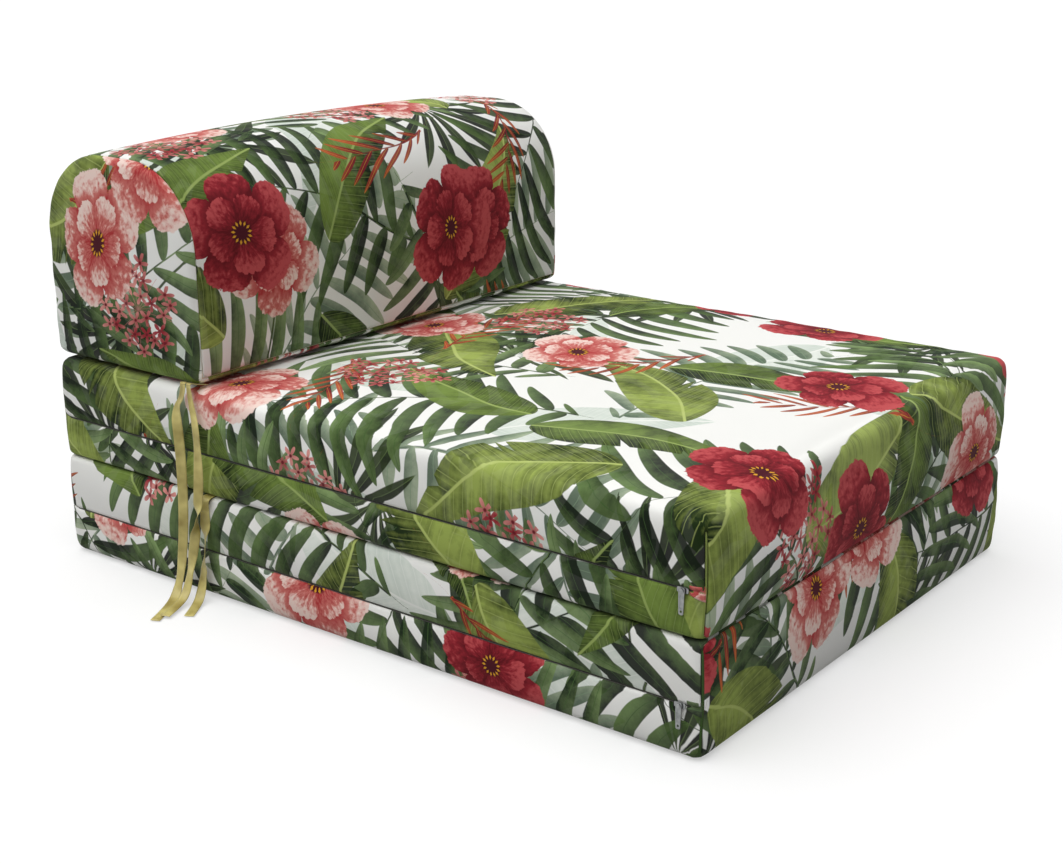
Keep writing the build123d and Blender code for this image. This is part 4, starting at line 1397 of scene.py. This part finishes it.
# %% Flat shapes with holes
def plate(outlines, holes, thickness, edge):
    """A plate of x from 0 to thickness. The first of its outlines (corners, radius) is its rim and the
    others are windows in it, and its holes (y, z, radius) are round.
    """
    bm = bmesh.new()
    for corners, radius in outlines:
        verts = [bm.verts.new((0, y, z)) for y, z in corners]
        bm.faces.new(verts)
        bmesh.ops.bevel(
            bm, geom=verts, offset=radius, offset_type="OFFSET", segments=4, profile=0.5,
            affect="VERTICES", material=-1,
        )
    bmesh.ops.delete(bm, geom=bm.faces[:], context="FACES_ONLY")
    for y, z, hole_radius in holes:
        turn = Matrix.Translation((0, y, z)) @ Matrix.Rotation(math.pi / 2, 4, "Y")
        bmesh.ops.create_circle(bm, cap_ends=False, segments=16, radius=hole_radius, matrix=turn)
    bmesh.ops.triangle_fill(bm, use_beauty=True, edges=bm.edges[:])
    bmesh.ops.join_triangles(
        bm, faces=bm.faces[:], angle_face_threshold=math.pi, angle_shape_threshold=math.pi
    )
    extruded = bmesh.ops.extrude_face_region(bm, geom=bm.faces[:], use_keep_orig=True)
    moved = [item for item in extruded["geom"] if isinstance(item, bmesh.types.BMVert)]
    bmesh.ops.translate(bm, vec=(thickness, 0, 0), verts=moved)
    bmesh.ops.recalc_face_normals(bm, faces=bm.faces)
    rims = [e for e in bm.edges if len(e.link_faces) == 2 and e.calc_face_angle() > math.radians(60)]
    bmesh.ops.bevel(
        bm, geom=rims, offset=edge, offset_type="OFFSET", segments=2, profile=0.5, affect="EDGES",
        material=-1,
    )
    return bm


def merged(parts):
    """Several bmeshes, each with the place of its origin, as one."""
    whole = bmesh.new()
    for bm, place in parts:
        mesh = bpy.data.meshes.new("part")
        bmesh.ops.translate(bm, vec=place, verts=bm.verts)
        bm.to_mesh(mesh)
        bm.free()
        whole.from_mesh(mesh)
        bpy.data.meshes.remove(mesh)
    return whole


# %% The zips' tapes, sliders, pulls and end patches
SLIDER_PLATE = 1.2 * MM
SLIDER_HALF_LENGTH = 5.5 * MM
SLIDER_NOSE = 2.0 * MM
SLIDER_SHOULDER = 3.0 * MM
SLIDER_TAIL = 2.3 * MM
POST_RADIUS = 1.1 * MM
CAP_RADIUS = 2.2 * MM
CAP_HEIGHT = 0.8 * MM
PULL_HEAD = 3.0 * MM
PULL_HEAD_HALF = 3.0 * MM
PULL_TIP_HALF = 2.25 * MM
PULL_HOLE = 1.5 * MM
PULL_EYE = 1.0 * MM
PULL_WINDOW = 1.1 * MM
PATCH_LENGTH = 13 * MM
PATCH_ABOVE = 5 * MM
PATCH_BELOW = (3 * MM, 8 * MM)
PATCH_LIFT = 0.6 * MM
PATCH_SHIFTS = {"base": (1.35, 0.9), "seat": (0.7, 2.1)}


def zip_slider(name, material):
    """Two plates, the web between them, the post and its domed cap."""
    low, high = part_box(f"{name}_zip_slider")
    middle = (low + high) / 2
    outline = [
        (-SLIDER_HALF_LENGTH, -SLIDER_NOSE), (-0.4 * SLIDER_HALF_LENGTH, -SLIDER_SHOULDER),
        (SLIDER_HALF_LENGTH, -SLIDER_TAIL), (SLIDER_HALF_LENGTH, SLIDER_TAIL),
        (-0.4 * SLIDER_HALF_LENGTH, SLIDER_SHOULDER), (-SLIDER_HALF_LENGTH, SLIDER_NOSE),
    ]
    pull_low, pull_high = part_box(f"{name}_zip_pull")
    front_face = pull_high.x + 1.0 * MM
    back_plate = high.x - SLIDER_PLATE
    web_half = Vector(((back_plate - front_face) / 2, 4 * MM, 0.2 * MM))
    web_middle = Vector(((back_plate + front_face) / 2, 0, 0))
    parts = [
        (plate([(outline, 1.2 * MM)], [], SLIDER_PLATE, 0.3 * MM), (front_face, middle.y, middle.z)),
        (plate([(outline, 1.2 * MM)], [], SLIDER_PLATE, 0.3 * MM), (back_plate, middle.y, middle.z)),
        (block(web_middle - web_half, web_middle + web_half), (0, middle.y, middle.z)),
    ]
    along_x = Matrix.Rotation(math.pi / 2, 4, "Y")
    post = bmesh.new()
    post_length = front_face - low.x - CAP_HEIGHT / 2
    bmesh.ops.create_cone(
        post, cap_ends=False, segments=20, radius1=POST_RADIUS, radius2=POST_RADIUS,
        depth=post_length, matrix=along_x,
    )
    parts.append((post, (front_face - post_length / 2, middle.y, middle.z)))
    cap = bmesh.new()
    bmesh.ops.create_uvsphere(cap, u_segments=24, v_segments=12, radius=CAP_RADIUS, matrix=along_x)
    bmesh.ops.scale(cap, vec=(CAP_HEIGHT / CAP_RADIUS / 2, 1, 1), verts=cap.verts)
    parts.append((cap, (low.x + CAP_HEIGHT / 2, middle.y, middle.z)))
    return add_object(f"{name}_zip_slider_body", merged(parts), material, math.radians(40))


def zip_pull(name, material):
    """The tapered pull: a hole for the post, an eye near its tip and a window between them."""
    low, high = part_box(f"{name}_zip_pull")
    middle_y = (low.y + high.y) / 2
    post_z = high.z - PULL_HEAD
    tip = low.z - post_z
    outline = [
        (-PULL_HEAD_HALF, PULL_HEAD), (PULL_HEAD_HALF, PULL_HEAD), (PULL_TIP_HALF, tip), (-PULL_TIP_HALF, tip),
    ]
    window_top = -PULL_HOLE - 2.5 * MM
    window_foot = tip + PULL_EYE + 4.5 * MM
    window = [
        (-PULL_WINDOW, window_top), (PULL_WINDOW, window_top), (PULL_WINDOW, window_foot), (-PULL_WINDOW, window_foot),
    ]
    holes = [(0, 0, PULL_HOLE), (0, tip + 3 * MM, PULL_EYE)]
    thickness = high.x - low.x
    rim = plate([(outline, 1.4 * MM), (window, 0.8 * MM)], holes, thickness, 0.18 * MM)
    panel = plate([(window, 0.8 * MM)], [], thickness / 2, 0.05 * MM)
    place = Vector((low.x, middle_y, post_z))
    sunk = place + Vector((thickness / 4, 0, 0))
    return add_object(
        f"{name}_zip_pull_tab", merged([(rim, place), (panel, sunk)]), material, math.radians(40)
    )


def end_patch(name, slab, material):
    """A folded scrap of the print over the zip's front end, laid on the cover below it."""
    bm = bmesh.new()
    bmesh.ops.create_grid(bm, x_segments=8, y_segments=8, size=0.5)
    cloth_map = bm.loops.layers.uv.new("cloth")
    front = -half_depth + SIDE_DRAW + 1.5 * MM
    for vert in bm.verts:
        along, up = vert.co.x + 0.5, vert.co.y + 0.5
        below = PATCH_BELOW[1] + (PATCH_BELOW[0] - PATCH_BELOW[1]) * along
        y = front + PATCH_LENGTH * along
        z = slab["zip"] - below + (below + PATCH_ABOVE) * up
        hit = slab["surface"].ray_cast(Vector((-2 * half_width, y, z)), Vector((1, 0, 0)))[0]
        edge = min(along, 1 - along, up, 1 - up)
        vert.co = Vector((hit.x - PATCH_LIFT * min(1.0, 0.4 + 6 * edge), y, z))
    for face in bm.faces:
        for loop in face.loops:
            loop[cloth_map].uv = loop.vert.co.yz + Vector(PATCH_SHIFTS[name])
    bmesh.ops.recalc_face_normals(bm, faces=bm.faces)
    if sum(face.normal.x for face in bm.faces) > 0:
        bmesh.ops.reverse_faces(bm, faces=bm.faces)
    patch = add_object(f"{name}_zip_end_patch", bm, material)
    wall = patch.modifiers.new("cloth_thickness", "SOLIDIFY")
    wall.thickness = CLOTH_THICKNESS / 2
    wall.offset = -1
    return patch


zinc = zip_metal_material()
zip_tape = zip_tape_painted_shade_material()
for name, slab in SLABS.items():
    slider = zip_slider(name, zinc)
    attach(slider, f"{name}_slider")
    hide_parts(f"{name}_zip_slider")
    pull = zip_pull(name, zinc)
    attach(pull, f"{name}_pull")
    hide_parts(f"{name}_zip_pull")
    patch = end_patch(name, slab, printed_cotton)
    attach(patch, name)
    for node, material in ((f"{name}_zip_chain", zip_tape), (f"{name}_zip_stops", zinc)):
        bpy.data.objects[node].data.materials.clear()
        bpy.data.objects[node].data.materials.append(material)
    print(name, "zip: slider", len(slider.data.polygons), "faces, pull", len(pull.data.polygons), "faces")

# %% [markdown]
# ## The ribbon ties
# Satin ribbon, 10 mm wide, hangs from two tabs on the left side and curls out over the floor. A ribbon
# is a strip that keeps its width while its line bends and its face turns. The line is a smooth spline
# through the air, and at each point of it the strip's face is carried on from the point before, then
# turned by the twist that the ribbon has there.

# %% The ribbons' routes, measured from the floor under the backrest's front left corner
TIE_CORNER = Vector((-half_width, backrest_front, 0))
RIBBON_WIDTH = 10 * MM
RIBBON_THICKNESS = 0.35 * MM
RIBBON_CUP = 0.35 * MM
REAR_TAIL = [
    (-3.5, 13, 221.5), (-3.5, 13.5, 211), (-7, 22.5, 196), (-8.5, 17, 160), (-10.5, 15, 104),
    (-13, 16.5, 60), (-14.5, 21, 26), (-23, 20.5, 4.5), (-46, 8, 1.2), (-73, -4, 1.2),
]
FRONT_TAIL = [
    (-3.5, 5, 221.5), (-3.5, 4, 210), (-7.5, -6, 186), (-9.5, -9.5, 150), (-11, -8, 110),
    (-13.5, -2, 68), (-15, 6.5, 31), (-24, 5.5, 8), (-44, 0, 3.2), (-63, -7, 3.2),
]
BASE_TAIL = [
    (-3.3, -7, 94.5), (-3.3, -7, 83), (-6.2, -8, 63), (-6.4, -5.5, 40), (-7.5, -3, 21),
    (-16, -6, 4.5), (-32, -14.5, 1.2), (-46, -22.5, 1.2),
]
# The sewn ends come out of a crease, turn down over the cloth and meet the tails.
REAR_SEWN_END = [(18, 11, 218.2), (8, 12, 219.8), (1, 13, 223), (-3.5, 13, 224), (-3.5, 13, 221.5)]
FRONT_SEWN_END = [(18, 6, 218.7), (8, 5.5, 220.3), (1, 5, 223.2), (-3.5, 5, 224), (-3.5, 5, 221.5)]
BASE_SEWN_END = [(14, -7, 108.7), (4, -7, 109.2), (-2.5, -7, 107), (-3.3, -7, 101), (-3.3, -7, 94.5)]
# A twist and a pinch are lists of places along the ribbon, as shares of its length, with the turn in
# degrees or the share of its width that the ribbon keeps there.
RIBBONS = {
    "backrest_tie_rear_tail": {
        "route": REAR_TAIL, "body": "backrest", "length": 0.273,
        "twist": [(0, -10), (0.08, -15), (0.2, -38), (0.5, -34), (0.64, -28), (0.78, 0), (1, 0)],
        "pinch": [(0, 0.62), (0.05, 0.66), (0.14, 1), (1, 1)],
    },
    "backrest_tie_front_tail": {
        "route": FRONT_TAIL, "body": "backrest", "length": 0.26,
        "twist": [(0, -10), (0.2, 5), (0.4, -32), (0.45, -30), (0.53, 53), (0.62, 140), (0.77, 180), (1, 180)],
        "pinch": [(0, 0.5), (0.05, 0.55), (0.2, 0.9), (0.35, 1), (1, 1)],
    },
    "base_tie_tail": {
        "route": BASE_TAIL, "body": "base", "length": 0.126,
        "twist": [(0, -28), (0.1, -30), (0.22, 35), (0.36, 42), (0.52, 0), (1, 0)],
        "pinch": [(0, 0.9), (0.1, 1), (1, 1)],
    },
}
SEWN_ENDS = {
    "backrest_tie_rear_sewn_end": {
        "route": REAR_SEWN_END, "body": "backrest", "replaces": ["backrest_tie_tab"],
        "twist": [(0, 0), (0.8, 0), (1, -10)], "pinch": [(0, 1), (0.5, 0.9), (1, 0.62)],
    },
    "backrest_tie_front_sewn_end": {
        "route": FRONT_SEWN_END, "body": "backrest", "replaces": [],
        "twist": [(0, 0), (0.8, 0), (1, -10)], "pinch": [(0, 1), (0.5, 0.8), (1, 0.5)],
    },
    "base_tie_sewn_end": {
        "route": BASE_SEWN_END, "body": "base", "replaces": ["base_tie_tab"],
        "twist": [(0, 0), (0.6, -10), (1, -28)], "pinch": [(0, 1), (0.6, 1), (1, 0.9)],
    },
}


def smooth_line(places):
    """Points along the smooth spline that has these places as its control points."""
    curve = bpy.data.curves.new("route", "CURVE")
    curve.dimensions = "3D"
    spline = curve.splines.new("NURBS")
    spline.points.add(len(places) - 1)
    for point, place in zip(spline.points, places):
        point.co = (*place, 1)
    spline.order_u = 3
    spline.use_endpoint_u = True
    spline.resolution_u = 10
    route = bpy.data.objects.new("route", curve)
    mesh = bpy.data.meshes.new_from_object(route)
    line = [vertex.co.copy() for vertex in mesh.vertices]
    bpy.data.objects.remove(route)
    bpy.data.curves.remove(curve)
    bpy.data.meshes.remove(mesh)
    return line


def value_at(share, table):
    """A table's value at a share of the way, smooth between its entries."""
    for (start, value), (end, next_value) in zip(table, table[1:]):
        if share <= end:
            part = (share - start) / (end - start)
            return value + (next_value - value) * part * part * (3 - 2 * part)
    return table[-1][1]


def ribbon(name, facts, material):
    """A strip that follows its route, with its face turned by its twist."""
    line = smooth_line([TIE_CORNER + Vector(offset) * MM for offset in facts["route"]])
    bm = bmesh.new()
    bmesh.ops.create_grid(bm, x_segments=len(line) - 1, y_segments=6, size=0.5)
    ribbon_map = bm.loops.layers.uv.new("ribbon")
    spots = {vert: (vert.co.x + 0.5, vert.co.y) for vert in bm.verts}
    length = sum((b - a).length for a, b in zip(line, line[1:]))
    runs = [0.0]
    for before, after in zip(line, line[1:]):
        runs.append(runs[-1] + (after - before).length)
    for face in bm.faces:
        for loop in face.loops:
            share, across = spots[loop.vert]
            run = runs[round(share * (len(line) - 1))]
            loop[ribbon_map].uv = (run, across * RIBBON_WIDTH)
    frames = []
    for number, point in enumerate(line):
        along = (line[min(number + 1, len(line) - 1)] - line[max(number - 1, 0)]).normalized()
        level = Vector((along.x, along.y, 0))
        heading = Vector((-1, 0, 0)).lerp(level.normalized(), min(1.0, 1.8 * abs(along.x)))
        facing = heading.cross(Vector((0, 0, 1))).cross(along).normalized()
        turn = Matrix.Rotation(math.radians(value_at(runs[number] / length, facts["twist"])), 3, along)
        face_out = turn @ facing
        width = RIBBON_WIDTH * value_at(runs[number] / length, facts["pinch"])
        frames.append((point, along.cross(face_out), face_out, width))
    for vert, (share, across) in spots.items():
        point, sideways, face_out, width = frames[round(share * (len(line) - 1))]
        cup = RIBBON_CUP * (4 * across * across - 0.5)
        vert.co = point + sideways * across * width + face_out * cup
    piece = add_object(name, bm, material)
    wall = piece.modifiers.new("thickness", "SOLIDIFY")
    wall.thickness = RIBBON_THICKNESS
    wall.offset = 0
    return piece, line


def ribbon_material():
    """Polyester satin ribbon, woven with long floats: a silky sheen along its length, olive gold, with painted
    highlights and painted shade in patches.
    """
    material = new_material("olive_satin_ribbon")
    add = partial(add_node, material.node_tree)
    place = add("ShaderNodeUVMap", uv_map="ribbon")
    # Threads 0.5 mm apart run along the ribbon.
    threads = add("ShaderNodeTexWave", place, bands_direction="Y", sockets={"Scale": 2 * math.pi / 20 / (0.5 * MM)})
    # Patches about 2 cm across, between a shaded and a highlighted olive gold: painted shade and painted highlight.
    painted_light_patches = add("ShaderNodeTexNoise", place, sockets={"Scale": 45.0, "Detail": 2.0})
    painted_light_patches = add("ShaderNodeMapRange", painted_light_patches, sockets={"From Min": 0.3, "From Max": 0.7})
    tone = add(
        MIX, painted_light_patches, output=2, data_type="RGBA", sockets={6: linear("#9a8840"), 7: linear("#e0d384")}
    )
    bump = add("ShaderNodeBump", sockets={"Height": threads, "Distance": 0.08 * MM, "Strength": 0.5})
    shader = add("ShaderNodeBsdfPrincipled", tone, sockets={
        "Roughness": 0.32, "Anisotropic": 0.5, "Sheen Weight": 0.2, "Sheen Roughness": 0.4, "Normal": bump,
    })
    add("ShaderNodeOutputMaterial", shader)
    return material


# %% The ribbons
satin = ribbon_material()
for name, facts in RIBBONS.items():
    piece, line = ribbon(f"{name}_ribbon", facts, satin)
    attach(piece, facts["body"])
    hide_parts(name)
    if facts["body"] == "backrest":
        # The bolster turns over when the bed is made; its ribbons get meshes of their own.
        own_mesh(piece)
    print(piece.name, "is", round(sum((b - a).length for a, b in zip(line, line[1:])), 3), "m long")
for name, facts in SEWN_ENDS.items():
    piece, line = ribbon(name, facts, satin)
    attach(piece, facts["body"])
    if facts["replaces"]:
        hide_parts(*facts["replaces"])
